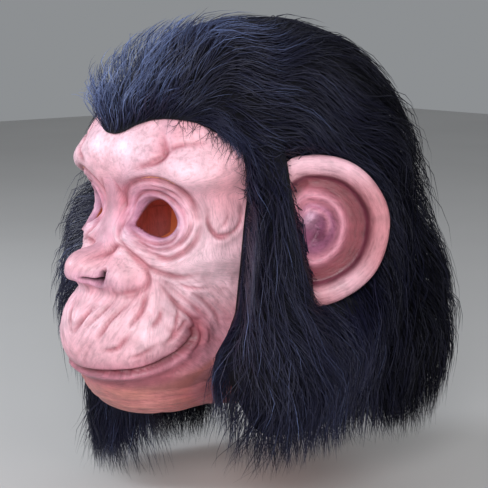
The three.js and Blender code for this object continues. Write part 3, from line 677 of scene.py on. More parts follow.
def backingFur():
    material, nodes, links, shader = newMaterial("backingFur")
    comb = attributeNode(nodes, "comb").outputs["Vector"]
    fibres = noiseNode(nodes, links, comb, 1.0, 4, 0.65).outputs["Fac"]
    dark, light = (linear(*colour) for colour in furLook["backing"])
    links.new(rampNode(nodes, links, fibres, [(0.38, dark), (0.72, light)]), shader.inputs["Base Color"])
    shader.inputs["Roughness"].default_value = furLook["backingRoughness"]
    shader.inputs["Specular IOR Level"].default_value = furLook["backingGloss"]
    links.new(bumpNode(nodes, links, fibres, furLook["backingBump"]), shader.inputs["Normal"])
    return material


# Paint of the face, as on a mask that is airbrushed over a pale ground, with painted highlight on raised parts and
# painted shade in dents, folds, wrinkles, the mouth line and the nostrils

facePaint = {
    "ground": (232, 172, 184), "pale": (248, 206, 218), "rose": (206, 120, 132), "violet": (186, 130, 162),
    "lip": (190, 118, 136), "corner": (104, 44, 52), "chin": (190, 118, 106), "chinDark": (150, 76, 74),
    "crease": (164, 86, 98), "nostrilShade": (44, 20, 26),
}


# The pale on the brow, the temple, under the eye and on the cheek is painted highlight and painted light; the rose in
# the brow dent, beside the glabella and under the nose wing is painted shade; the pale on the muzzle and the rose on
# the temple and jaw are the mask's own paint.
facePatches = [      # colour, amount, degrees, drop, half width, half height, then its steady and its cloudy share
    ("pale", 0.6, 12, 0.24, 0.13, 0.09, 1, 0),
    ("pale", 0.75, 38, 0.28, 0.1, 0.05, 1, 0),
    ("pale", 0.95, 44, 0.51, 0.17, 0.14, 1, 0),
    ("pale", 0.8, 54, 0.6, 0.12, 0.12, 1, 0),
    ("pale", 0.5, 46, 0.38, 0.12, 0.12, 1, 0),
    ("pale", 0.6, 22, 0.5, 0.07, 0.05, 1, 0),
    ("pale", 0.6, 43, 0.61, 0.13, 0.09, 1, 0),
    ("pale", 0.95, 20, 0.69, 0.16, 0.09, 0.6, 0.6),
    ("pale", 0.6, 36, 0.59, 0.1, 0.05, 1, 0),
    ("rose", 0.42, 52, 0.36, 0.1, 0.09, 0.5, 1),
    ("rose", 0.3, 52, 0.72, 0.08, 0.1, 0.5, 1),
    ("rose", 0.4, 27, 0.25, 0.03, 0.04, 1, 0),
    ("rose", 0.35, 6, 0.37, 0.04, 0.07, 1, 0),
    ("rose", 0.4, 20, 0.6, 0.03, 0.05, 1, 0),
]


def spot(across, down, angle, drop, wideShare, tallShare):
    x = np.abs(across) - angle * arcPerDegree
    return np.exp(-(x / (wideShare * high)) ** 2 - ((down - drop * high) / (tallShare * high)) ** 2)


def paintOver(palette, ground, layers, count):      # each layer is a colour's name and how much of it, 0 to 1
    colour = np.tile(linear(*palette[ground]), (count, 1))
    for name, amount in layers:
        amount = np.clip(amount, 0, 1)[:, None]
        colour = colour * (1 - amount) + linear(*palette[name]) * amount
    return colour


def paintFace(skin):
    across, down, eyeAway = skin["across"], skin["down"], skin["eyeAway"]
    x, drop = np.abs(across), down / high
    cloud = softNoise(across / 17 + 20, down / 17, 31)
    fleck = softNoise(across / 5 + 20, down / 5, 32)
    lipAway, _, lipSide, _ = besidePath(foldCurves["lips"], x, down)
    nostrilAway = besidePath(nostril["line"], x, down)[0]
    chin = smooth(0.868, 0.9, (down + 0.0022 * x ** 2) / high) * smooth(66, 58, x * smooth(0.7, 0.9, drop))
    # how much painted wrinkle shade shows: less on the forehead, and less on the cheek, which is kept lighter as
    # painted light
    calm = 1 - 0.85 * smooth(0.36, 0.3, drop)
    calm = calm * (1 - 0.5 * spot(across, down, 46, 0.5, 0.14, 0.14))
    patches = [
        (name, amount * spot(across, down, *place) * (steady + cloudy * cloud))
        for name, amount, *place, steady, cloudy in facePatches
    ]
    colour = paintOver(facePaint, "ground", [
        # paler on the raised swellings as painted highlight, rosier in the dents as painted shade
        ("pale", 0.75 * smooth(0.2, 2.6, skin["broad"]) * (0.45 + 0.8 * cloud)),
        ("rose", 0.5 * smooth(-0.2, -3.2, skin["broad"]) * (0.5 + 0.8 * cloud)),
        ("violet", 0.34 * smooth(0.5, 0.85, softNoise(across / 23 + 9, down / 23, 33))),
        ("rose", 0.35 * smooth(0.55, 0.9, softNoise(across / 14 + 9, down / 14, 34))),
        *patches[:10],
        ("rose", 0.15 * smooth(70, 100, x) * smooth(0.2, 0.36, drop)),
        *patches[10:],
        ("violet", 0.45 * bell(eyeAway - 4, 6) * smooth(0.4, 0.9, cloud + 0.5)),
        # painted shade: thin violet bands in the furrow under the brow and under the nose
        ("violet", 0.2 * spot(across, down, 21, 0.345, 0.09, 0.02)),
        ("violet", 0.35 * spot(across, down, 0, 0.6, 0.13, 0.02)),
        ("lip", 0.85 * bell(lipAway - 3 * (lipSide > 0), 8 + 3 * (lipSide > 0))),
        ("chin", 0.9 * chin * (0.8 + 0.3 * cloud)),
        ("chinDark", 0.8 * smooth(30, 62, x) * smooth(0.8, 0.88, drop)),
        ("chinDark", 0.5 * smooth(0.93, 0.97, drop) * fleck),
        # painted shade in the mouth corner
        ("corner", 0.75 * spot(across, down, 38, 0.755, 0.03, 0.04)),
        # painted shade in the wrinkles and folds, partly the darker airbrushed lines of the mask
        ("crease", 0.4 * np.clip(skin["fine"] / 0.8, 0, 1) * (0.5 + cloud) * calm),
        ("crease", 0.75 * np.clip(skin["creased"], 0, 1)),
        # painted shade along the mouth line
        ("corner", 0.85 * bell(lipAway, 1.7)),
        ("violet", 0.75 * bell(eyeAway, 2.2)),
        ("violet", 0.5 * bell(nostrilAway, 7) * smooth(0.545, 0.57, drop)),
        # painted shadow: near-black paint in the nostril dents, standing in for the dark of an opening
        ("nostrilShade", 0.97 * smooth(2.1, 1, nostrilAway)),
    ], len(across))
    colour *= (0.94 + 0.12 * fleck)[:, None]
    return np.hstack([colour, np.ones((len(across), 1))])


def flowOf(skin):       # directions of the finest lines: across them first, along them second
    across, down, eyeAway = skin["across"], skin["down"], skin["eyeAway"]
    x, drop = np.abs(across), down / high
    turn = np.arctan2(down - eyeHole["drop"], x - eyeHole["spacing"] / 2)
    slant = 0.32 * (1 - x / 60)
    way = np.stack([(x + slant * (down - 160) * 1.5) / 1.7, down / 8], -1)
    for share, first, second in [
        (smooth(40, 56, x) * smooth(0.53, 0.6, drop), (x * 0.72 - down * 0.7) / 1.7, (x + down) / 10),
        (smooth(0.36, 0.3, drop), across / 3.2, down / 3.2),
        (smooth(26, 12, eyeAway), eyeAway / 1.5, np.abs(turn) * 2.4),
        (smooth(0.85, 0.89, drop), down / 1.4, across / 9),
    ]:
        way = way * (1 - share)[:, None] + np.stack([first, second], -1) * share[:, None]
    return np.hstack([way, (across / 60)[:, None]])


# Latex face and hood

skinGrid = {"faceEdge": 64, "fineEdge": 46, "fineStep": 0.56, "sideStep": 0.9, "backStep": 5.5,
            "firstRow": 45, "rowStep": 0.5, "topRows": (7, 14, 22, 30, 38), "snap": 0.58}


def latexHood(outerMaterial, innerMaterial):
    g = skinGrid
    coarse = 1
    side = np.concatenate([np.arange(0, g["fineEdge"], g["fineStep"] * coarse),
                           np.arange(g["fineEdge"], g["faceEdge"], g["sideStep"] * coarse)])
    back = np.linspace(g["faceEdge"], 360 - g["faceEdge"], int((360 - 2 * g["faceEdge"]) / g["backStep"]))
    angles = np.concatenate([-side[:0:-1], side, back])
    low = polarAtDrop(angles, rimDrop, 100, 168, 20)
    rows = int((143 - g["firstRow"]) / (g["rowStep"] * coarse))
    shares = np.linspace(0, 1, rows)
    lower = g["firstRow"] + (low - g["firstRow"])[:, None] * shares
    polars = np.hstack([np.tile(g["topRows"], (len(angles), 1)), lower])
    angle, polar, quads, cap = gridOf(angles, polars)
    outlines = [eyeRing, otherSide(eyeRing)]
    inside, snapped = snapToOutlines(angle, polar, outlines, g["snap"] * coarse)
    faces = keptFaces(quads, inside, snapped, angle, polar, outlines) + cap
    skin = skinAt(angle, polar)
    outer, inner, strips = wallFaces(faces, len(angle))
    points = np.vstack([skin["outside"], skin["inside"]])
    paint = paintFace(skin)
    flow = flowOf(skin)
    piece = meshFrom(
        "latex_hood", points, outer + inner + strips, [outerMaterial, innerMaterial],
        {"paint": np.vstack([paint, paint]), "flow": np.vstack([flow, flow])},
        [0] * len(outer) + [1] * len(inner) + [0] * len(strips),
    )
    print("latex hood:", len(piece.data.polygons), "faces")
    return finished(piece, "mask_shell")


# Ears

ear = {"height": 103, "reach": 9, "drop": 117, "turn": 50, "rimRise": 6, "hollow": 10, "leastWall": 3.5,
       "rings": 54, "rimRings": 30, "backRings": 8, "spokes": 128, "ridgeRadius": 0.4, "ridgeRise": 6,
       "secondRadius": 0.24, "secondRise": 3, "knobRise": 12, "clear": 1.6}
earRim = [      # share of the radius, height as a share of the rim's rise, from the back over the rim
    (0.5, -2.6), (0.7, -1.2), (0.86, -0.75), (0.95, -0.5), (1, -0.02), (1.005, 0.3), (0.985, 0.72), (0.94, 0.98),
    (0.87, 1.04), (0.8, 0.9), (0.755, 0.55), (0.725, 0.05), (0.7, -0.35), (0.66, -0.62), (0.6, -0.7),
]
earPaint = {"rim": (188, 122, 130), "pale": (234, 190, 204), "groove": (122, 52, 62), "ridge": (206, 136, 154),
            "bowl": (150, 88, 122), "dark": (100, 46, 68), "knob": (206, 160, 184), "back": (200, 132, 142)}


def earPlane(side):
    turn = math.radians(ear["turn"])
    out = np.array([side * math.cos(turn), math.sin(turn), 0])
    front = np.array([side * math.sin(turn), -math.cos(turn), 0])
    middle = np.array([side * (wide / 2 + ear["reach"]), -0.02 * deep, -ear["drop"]])
    return out, front, middle


def earRidges(u, v):      # how far each point is from the ridge and from the second one inside it, as shares
    ridgeAway = np.hypot(u + 0.06, (v - 0.02) * 0.92) - ear["ridgeRadius"]
    return ridgeAway, np.hypot(u + 0.08, v - 0.03) - ear["secondRadius"]


def earHeightAt(u, v):      # height of the hollow inside the rim, u outwards and v upwards as shares
    ridgeAway, secondAway = earRidges(u, v)
    spread = np.arctan2(v, u + 0.06)
    ridge = ear["ridgeRise"] * bell(ridgeAway, 0.085) * (0.35 + 0.65 * smooth(-2.4, -1.5, spread))
    second = ear["secondRise"] * bell(secondAway, 0.05) * smooth(-0.2, 0.1, v + 0.4 * u)
    bowl = -ear["hollow"] * np.exp(-((u + 0.08) ** 2 + (v + 0.02) ** 2) / 0.085)
    x, y = 0.8 * (u + 0.1) + 0.6 * (v - 0.13), -0.6 * (u + 0.1) + 0.8 * (v - 0.13)
    knob = ear["knobRise"] * np.exp(-(x / 0.17) ** 2 - (y / 0.105) ** 2)
    return ridge + second + bowl + knob - 2.4 - 1.6 * (1 - np.hypot(u, v))


def moulding(side, material):
    out, front, middle = earPlane(side)
    stations = curved(earRim, ear["rimRings"])
    inner = np.linspace(stations[-1, 0], 0, ear["rings"] - ear["rimRings"] + 2)[1:-1]
    shares = np.concatenate([stations[:, 0], inner])
    turns = np.radians(np.arange(ear["spokes"]) * 360 / ear["spokes"])
    cosine, sine = np.cos(turns), np.sin(turns)
    count, rings = len(turns), len(shares)
    radius = ear["height"] / 2 * (1 - 0.05 * np.maximum(0, np.cos(turns + 0.8)) + 0.04 * np.maximum(0, -sine))
    radius = radius * (1 + 0.012 * np.sin(3 * turns + 1) + 0.006 * np.sin(7 * turns) - 0.035 * cosine ** 2)
    heights = []
    for k, share in enumerate(shares):
        height = earHeightAt(share * cosine, share * sine)
        if k < len(stations):
            deepest = height - ear["leastWall"] if k < 2 else np.inf      # the back stays under the hollow
            rim = stations[k, 1] * ear["rimRise"] * (1 + 0.1 * np.sin(2 * turns + 0.6))
            blend = smooth(0.74, 0.6, share) if k > len(stations) / 2 else 0.0
            height = np.minimum(rim * (1 - blend) + height * blend, deepest)
        heights.append(height)
    height, reach = np.concatenate(heights), np.outer(shares, radius)
    points = (middle + (reach * cosine).ravel()[:, None] * out + (reach * sine).ravel()[:, None] * (0, 0, 1)
              + height[:, None] * front)
    centre = float(earHeightAt(np.array(0.0), np.array(0.0)))
    points = np.vstack([points, middle + (centre - ear["leastWall"]) * front, middle + centre * front])
    u = np.append(np.outer(shares, cosine), (0, 0))
    v = np.append(np.outer(shares, sine), (0, 0))
    faces = []
    for k in range(count):
        n = (k + 1) % count
        faces.append([rings * count, k, n])
        faces.append([(rings - 1) * count + n, (rings - 1) * count + k, rings * count + 1])
        faces += [[r * count + k, (r + 1) * count + k, (r + 1) * count + n, r * count + n] for r in range(rings - 1)]
    if side > 0:
        faces = [face[::-1] for face in faces]
    isBack = np.append(np.repeat(np.arange(rings) < ear["backRings"], count), (True, False))
    relief = 0.35 * (np.append(height, (0, 0)) + 12)
    for _ in range(5):      # the front is lifted clear of the hood
        skin = np.maximum(swellingHeight(*faceSpot(points)), 0)
        least = np.where(isBack, -40, ear["clear"] + skin + np.clip(relief, 0, 5))
        lift = np.maximum(least - fieldOf(headForms, points), 0)
        points = points + outwardAt(headForms, points) * lift[:, None]
    share = np.hypot(u, v)
    ridgeAway, secondAway = earRidges(u, v)
    # pale on top of the rim and the knob is painted highlight; the groove, the dark spot in the bowl and the dark
    # ring under the rolled rim are painted shade
    colour = paintOver(earPaint, "rim", [
        ("pale", 0.7 * bell(v - 0.9, 0.25) + 0.5 * bell(u + v * 0.9 + 0.2, 0.5) * (v < 0) * (share > 0.72)),
        ("groove", smooth(0.76, 0.7, share) * smooth(0.02, 0.1, ridgeAway)),
        ("bowl", 0.95 * smooth(0.4, 0.3, np.hypot(u + 0.06, v))),
        ("ridge", bell(ridgeAway, 0.085) * 0.95),
        ("ridge", bell(secondAway, 0.04) * smooth(-0.2, 0.1, v + 0.4 * u) * 0.8),
        ("dark", 0.85 * np.exp(-((u - 0.02) / 0.16) ** 2 - ((v + 0.12) / 0.1) ** 2)),
        ("dark", 0.6 * bell(share - 0.705, 0.035)),
        ("knob", np.exp(-((u + 0.1) / 0.13) ** 2 - ((v - 0.13) / 0.12) ** 2)),
        ("back", isBack * 1.0),
    ], len(points))
    paint = np.hstack([colour, np.ones((len(points), 1))])
    flow = np.stack([share * 26, np.arctan2(v, u) * 3, u], -1)
    name = "ear_moulding_left" if side > 0 else "ear_moulding_right"
    piece = meshFrom(name, points, faces, [material], {"paint": paint, "flow": flow})
    print(name, len(piece.data.polygons), "faces")
    return finished(piece, "ear_left" if side > 0 else "ear_right")


# Fur: a dark backing with strands on it

furGrid = {"angleStep": 2.5, "rowStep": 2.5, "hem": 266, "below": 8, "overHood": 1.6, "edge": 26, "snap": 2.4,
           "farDrop": 22, "behind": 4}
seamDrop, sideSeamAngle = 58, 101
furNodes = ["fur_crown", "fur_side_left", "fur_side_right", "fur_back"]
windowLine = [
    (0, 0.213), (3.5, 0.213), (7.5, 0.205), (12.5, 0.187), (19, 0.173), (26, 0.168), (33, 0.17),
    (39, 0.175), (45, 0.19), (50, 0.208), (55, 0.228),
    (58.8, 0.252), (60.2, 0.29), (61.5, 0.37), (60, 0.45), (59, 0.52),
    (58, 0.6), (57.2, 0.69), (53.5, 0.745), (45, 0.815), (41.5, 0.92), (38.5, 1.0), (36, 1.2),
]
halfWindow = onFace(windowLine)
faceWindow = np.vstack([halfWindow, otherSide(halfWindow)[:-1]])
windowLoop = np.vstack([faceWindow, faceWindow[:1]])


def hairEdgeAt(b):      # where the hair in front of the ear ends, at each height on the ear
    return np.interp(b, (-50, -33, -16, -2, 15, 29, 43), (1, -1, -6, -12, -15, -18, -21))


def onEarPlane(direction, side):      # where rays from the heart meet the plane of an ear
    out, front, middle = earPlane(side)
    facing = direction @ front
    ahead = facing > 0.15
    distance = (middle - heart) @ front / np.where(ahead, facing, 0.15)
    hit = heart + direction * distance[..., None] - middle
    return hit @ out, hit[..., 2], distance, ahead


def earCover(points, side):      # 1 where the ear must stay free of backing
    direction = (points - heart) / np.linalg.norm(points - heart, axis=-1, keepdims=True)
    a, b, distance, ahead = onEarPlane(direction, side)
    far = np.hypot(a, b) / (ear["height"] / 2)
    free = smooth(1.14, 0.98, far) * smooth(-7, -2, a - hairEdgeAt(b)) * ahead
    return free, distance, far


def beforeEar(direction, side):      # how far out the hair in front of an ear may go, so that it hides none of it
    out, _, middle = earPlane(side)
    a, b, _, ahead = onEarPlane(direction, side)
    sideways = np.maximum(direction @ out, 0.05)
    reach = (hairEdgeAt(b) - 2 + (middle - heart) @ out) / sideways
    away = smooth(46, 60, np.abs(b)) + smooth(1.0, 1.15, a / (ear["height"] / 2)) + ~ahead
    return reach + 90 * np.minimum(away, 1)


def backingPoints(angle, polar):
    direction = towards(angle, polar)
    envelope = castOut(furForms, direction, -furGrid["below"])
    hood = castOut(headForms, direction, furGrid["overHood"])
    outer = np.linalg.norm(envelope - heart, axis=-1)
    inner = np.linalg.norm(hood - heart, axis=-1)
    across = (np.asarray(angle) + 180) % 360 - 180
    windowAway = besidePath(windowLoop, across * arcPerDegree, -hood[..., 2])[0]
    outside = ~withinOutline(faceWindow, across * arcPerDegree, -hood[..., 2])
    rise = smooth(-2, furGrid["edge"], windowAway * outside) ** 0.7
    outer = outer + furGrid["behind"] * bell(np.abs(across) - 138, 34) * smooth(40, 120, -hood[..., 2])
    outer = np.maximum(inner + 0.9 + (outer - inner - 0.9) * rise, inner + 0.9)
    for side in (1, -1):
        free, distance, far = earCover(heart + direction, side)
        lowest = np.linalg.norm(castOut(headForms, direction, 0.9) - heart, axis=-1)
        held = np.maximum(lowest, distance - 9 - 14 * smooth(0.8, 0.5, far))
        outer = outer * (1 - free) + np.minimum(outer, held) * free
        outer = np.minimum(outer, np.maximum(lowest + 0.6, beforeEar(direction, side)))
        inner = inner * (1 - free) + np.minimum(inner, lowest - 0.7) * free
    radiusX, radiusY = furSizes["neckWidth"] / 2, furSizes["neckDepth"] / 2
    dx, dy = direction[..., 0] / radiusX, direction[..., 1] / radiusY
    offset = -0.085 * deep / radiusY
    a, b, c = dx ** 2 + dy ** 2, 2 * dy * offset, offset ** 2 - 1
    neck = (-b + np.sqrt(np.maximum(b * b - 4 * a * c, 0))) / np.maximum(2 * a, 1e-6)
    low = smooth(120, 128, np.asarray(polar))
    inner = inner * (1 - low) + np.maximum(inner, np.minimum(neck, outer - 4)) * low
    return heart + direction * outer[..., None], heart + direction * np.minimum(inner, outer - 0.6)[..., None]


def panelOf(angle, down):       # 0 crown, 1 left, 2 right, 3 back
    angle = (angle + 180) % 360 - 180
    lower = np.where(np.abs(angle) > sideSeamAngle, 3, np.where(angle > 0, 1, 2))
    return np.where(down < seamDrop, 0, lower)


def furBacking(material):
    g = furGrid
    angles = np.arange(-180, 180, g["angleStep"])
    rows = np.arange(8, 142.1, g["rowStep"])
    farSide = smooth(-30, -55, angles) * smooth(-140, -110, angles)
    polars = 8 + (rows - 8)[None] * (1 + 0.07 * farSide)[:, None]
    angle, polar, quads, cap = gridOf(angles, polars)
    inside, snapped = snapToOutlines(angle, polar, [faceWindow], g["snap"])
    faces = keptFaces(quads, inside, snapped, angle, polar, [faceWindow]) + cap
    outside, within = backingPoints(angle, polar)
    hem = g["hem"] + g["farDrop"] * smooth(-30, -60, outside[:, 0]) * smooth(75, 45, outside[:, 1])
    outside[:, 2] = np.maximum(outside[:, 2], -hem)
    down = -outside[:, 2]
    wrapped = (angle + 180) % 360 - 180
    comb = np.stack([wrapped * arcPerDegree / 0.9, down / 16, outside[:, 1] / 22], -1)
    topWay = np.stack([outside[:, 0] / 0.9, outside[:, 1] / 16, down / 22], -1)
    overTop = smooth(75, 35, down)[:, None]
    comb = comb * (1 - overTop) + topWay * overTop
    names = ["backing_crown", "backing_left", "backing_right", "backing_back"]
    made = []
    for panel, (name, node) in enumerate(zip(names, furNodes)):
        own = []
        for face in faces:
            spread = wrapped[face]
            middle = spread.mean() if np.ptp(spread) < 180 else 180.0
            if panelOf(middle, down[face].mean()) == panel:
                own.append(face)
        outer, inner, strips = wallFaces(own, len(angle))
        piece = meshFrom(name, np.vstack([outside, within]), outer + inner + strips, [material],
                         {"comb": np.vstack([comb, comb])})
        made.append(finished(piece, node))
    print("fur backing:", sum(len(piece.data.polygons) for piece in made), "faces")
    return outside, [face for face in faces if len(face) == 4]


strands = {"count": 22000, "steps": 6, "thickness": 0.29, "clumps": 1700, "clumping": 0.62, "seed": 5,
           "crownLength": 56, "sideLength": 92, "backLength": 100, "stray": 0.12, "wave": 2.5,
           "nearHem": 281, "farHem": 326, "backHem": 281, "ragged": 24, "edgeWeight": 5, "tousle": 2.2,
           "sides": 3, "pile": (11, 24), "spare": 1.15, "shortest": 0.12, "aboveHood": 3.2, "cutSteps": 21}


def faceSpot(points):      # distance round the head and drop, as on the face
    angle = np.degrees(np.arctan2(points[..., 0], heart[1] - points[..., 1]))
    return angle * arcPerDegree, -points[..., 2]


def earSpot(points, side):      # outwards, upwards and forwards from the middle of the ear
    out, front, middle = earPlane(side)
    away = points - middle
    return away @ out, away[..., 2], away @ front


def combing(points, normal):      # which way the strands lie at each point
    down = -points[:, 2]
    side = np.abs(points[:, 0])
    brow = smooth(-55, -85, points[:, 1]) * smooth(62, 40, side) * smooth(95, 70, down)
    fall = smooth(15, 85, down) * (1 - brow)
    pull = np.stack([
        np.sign(points[:, 0]) * (0.3 * smooth(15, 60, side) * (1 - fall) + 0.25 * brow * smooth(0, 12, side)),
        1.0 * (1 - fall) + 0.34 * fall * smooth(90, 20, points[:, 1]),
        -0.1 - 0.98 * fall + 0.6 * brow,
    ], -1)
    swirl = softNoise(points[:, 0] / 26 + 10, points[:, 1] / 26 + down / 34 + 10, 41) - 0.5
    calm = 1 - 0.75 * smooth(-65, -92, points[:, 1])
    pull += np.cross(normal, pull) * (strands["tousle"] * swirl * calm)[:, None]
    along = pull - normal * (pull * normal).sum(1)[:, None]
    return along / np.maximum(np.linalg.norm(along, axis=1, keepdims=True), 1e-6)


def topLevelAt(roots):      # how high the coat stands above the solid's form, at each root
    down, back = -roots[:, 2], smooth(10, 70, roots[:, 1])
    frontSide = smooth(40, 80, np.abs(roots[:, 0])) * (1 - back)
    turn = np.abs(faceSpot(roots)[0]) / arcPerDegree
    brow = smooth(-35, -75, roots[:, 1]) * smooth(85, 58, down) * smooth(52, 34, np.abs(roots[:, 0]))
    uneven = 7 * (softNoise(roots[:, 0] / 21 + 20, roots[:, 1] / 21 + down / 25 + 20, 42) - 0.5)
    return (-7 * smooth(60, 10, down) + 8 * back * smooth(70, 160, down) + 17 * brow + uneven
            + 15 * bell(turn - 138, 34) * smooth(20, 110, down) * smooth(300, 240, down)
            + 9 * frontSide * smooth(40, 85, down) * smooth(240, 170, down))


def besideFace(points):      # hair at the sides of the face doesn't cross its edge
    lower = halfWindow[halfWindow[:, 1] > 0.3 * high]
    across, down = faceSpot(points)
    least = np.interp(down, lower[:, 1], lower[:, 0], left=0) + 0.8
    over = (np.abs(across) < least) & (down > 0.3 * high) & (down < 0.95 * high) & (points[:, 1] < 0)
    turn = np.where(over, (least - np.abs(across)) * np.sign(across) / faceRadius, 0)
    x, y = points[:, 0] - heart[0], points[:, 1] - heart[1]
    turned = points.copy()
    turned[:, 0] = heart[0] + x * np.cos(turn) - y * np.sin(turn)
    turned[:, 1] = heart[1] + x * np.sin(turn) + y * np.cos(turn)
    return turned


def beforeEars(points, begins, uneven):      # hair that begins in front of an ear stays in front of it
    for side in (1, -1):
        out = earPlane(side)[0]
        a0, b0, _ = earSpot(begins, side)
        a, b, _ = earSpot(points, side)
        edge = hairEdgeAt(b) - 2 + uneven
        over = (side * points[:, 0] > 0) & (a0 < hairEdgeAt(b0)) & (b0 < 46) & (a > edge) & (b > -54)
        points = points - out * np.where(over, a - edge, 0)[:, None]
    return points


def tuckBehindEars(points):
    half = ear["height"] / 2
    for side in (1, -1):
        front = earPlane(side)[1]
        a, b, c = earSpot(points, side)
        far = np.hypot(a, b) / half
        limit = -8 + 200 * np.maximum(far - 1, 0)
        over = (side * points[:, 0] > 0) & (a > hairEdgeAt(b) - 2) & (c > limit) & (far < 1.35)
        points = points - front * (np.where(over, c - limit, 0))[:, None]
    return points


def strandPaths(roots, edge, rng):
    count, steps = len(roots), strands["steps"]
    down, back = -roots[:, 2], smooth(20, 80, roots[:, 1])
    fall = smooth(30, 90, down)
    length = (strands["crownLength"] * (1 - fall)
              + fall * (strands["sideLength"] * (1 - back) + strands["backLength"] * back))
    nearEdge = smooth(22, 3, edge)
    length = length * rng.uniform(0.5 + 0.25 * smooth(190, 240, down), 1.15) * (1 - 0.45 * nearEdge)
    stray = rng.random(count) < strands["stray"]
    goalTop = topLevelAt(roots) + rng.normal(0, 2.4, count) + stray * rng.uniform(1, 10, count)
    lean = rng.normal(0, 0.26, count) + stray * rng.normal(0, 0.4, count)
    uneven = rng.normal(0, 2, count)
    brow = smooth(-70, -85, roots[:, 1]) * smooth(70, 55, down)
    # short pile at the hairline
    low = (edge < 11 - 5 * brow) & (rng.random(count) < 0.65 - 0.2 * brow) & (down < 0.4 * high)
    length = np.where(low, rng.uniform(*strands["pile"], count), length)
    phase, curl = rng.uniform(0, 6.28, count), rng.uniform(0.3, 1.2, count) * strands["wave"]
    rootLevel = fieldOf(furForms, roots)
    point = roots.copy()
    path = [point.copy()]
    for k in range(1, steps):
        t = k / (steps - 1)
        normal = outwardAt(furForms, point, 1.5)
        way = combing(point, normal)
        across = np.cross(normal, way)
        way = way + across * (lean * (1.2 - t) + curl / 9 * np.sin(phase + 4.4 * t))[:, None]
        hang = smooth(205, 255, -point[:, 2])[:, None]
        sway = (1.1 * lean + curl / 7 * np.sin(phase + 3 * t))[:, None]
        way = way * (1 - hang) + (np.array([0, 0, -1.0]) + across * sway) * hang
        way = way + normal * (0.7 * (1 - t) * (t < 0.4) * np.where(low, 0.3, 1))[:, None]
        way = way / np.linalg.norm(way, axis=1, keepdims=True)
        point = point + way * (length / (steps - 1))[:, None]
        level = fieldOf(furForms, point)
        reached = smooth(0, 0.6, t)
        top = np.where(low, rootLevel + 3, np.maximum(goalTop, rootLevel + 4))
        goal = rootLevel * (1 - reached) + top * reached
        point = point + normal * ((goal - level) * (1 - hang[:, 0]) * 0.7)[:, None]
        point = besideFace(beforeEars(tuckBehindEars(point), roots, uneven))
        hood = fieldOf(headForms, point)
        point = point + outwardAt(headForms, point, 1.5) * np.maximum(strands["aboveHood"] + 3 * t - hood, 0)[:, None]
        path.append(point.copy())
    return np.stack(path, 1)


def clumped(paths, rng):       # strands run together towards their tips
    guides = paths[rng.choice(len(paths), min(strands["clumps"], len(paths)), replace=False)]
    nearest = np.zeros(len(paths), int)
    for start in range(0, len(paths), 1000):
        block = paths[start:start + 1000, 0]
        nearest[start:start + 1000] = ((block[:, None] - guides[None, :, 0]) ** 2).sum(-1).argmin(1)
    own = guides[nearest]
    shift = paths[:, :1] - own[:, :1]
    amount = strands["clumping"] * rng.uniform(0.1, 1.25, len(paths))
    t = np.linspace(0, 1, paths.shape[1])
    weight = np.clip(amount[:, None] * t ** 1.3, 0, 0.92)[..., None]
    return paths * (1 - weight) + (own + shift * 0.35) * weight, nearest


def alongPaths(paths, spots):      # the points at these steps of each path, given as decimal numbers
    low = np.minimum(spots.astype(int), paths.shape[1] - 2)
    mix = (spots - low)[..., None]
    row = np.arange(len(paths))[:, None]
    return paths[row, low] * (1 - mix) + paths[row, low + 1] * mix


def cutStrands(paths, rng):      # at the ragged hem, at the edge of the face and where they reach an ear
    count, fine = len(paths), strands["cutSteps"]
    tip = paths[:, -1]
    near = tip[:, 0] > 0
    back = np.where(near, smooth(20, 90, tip[:, 1]), smooth(45, 85, tip[:, 1]))
    sideHem = np.where(near, strands["nearHem"] - 10 * smooth(-70, -20, tip[:, 1]), strands["farHem"])
    hem = sideHem * (1 - back) + strands["backHem"] * back - strands["ragged"] * rng.random(count) ** 1.6
    last = paths.shape[1] - 1
    points = alongPaths(paths, np.linspace(0, last, fine)[None])
    across, down = faceSpot(points)
    away = besidePath(windowLoop, across, down)[0]
    allowed = 1 + 4 * rng.random(count) ** 2
    blocked = (down > hem[:, None]) | (withinOutline(faceWindow, across, down) & (away > allowed[:, None]))
    crossing = rng.exponential(1.6, count)
    loose = 11 * rng.random(count) * (rng.random(count) < 0.1)
    for side in (1, -1):
        a, b, c = earSpot(points, side)
        far = np.hypot(a, b) + crossing[:, None]
        over = (far < ear["height"] / 2) & (a > hairEdgeAt(b) + 1 + (crossing + loose)[:, None]) & (c > -5)
        blocked |= over & (side * points[..., 0] > 0)
    first = np.where(blocked.any(1), blocked.argmax(1), fine - 1)
    end = np.where(blocked.any(1), np.maximum(first - 1, 0), first) / (fine - 1)
    return alongPaths(paths, np.linspace(0, 1, last + 1)[None] * end[:, None] * last), end


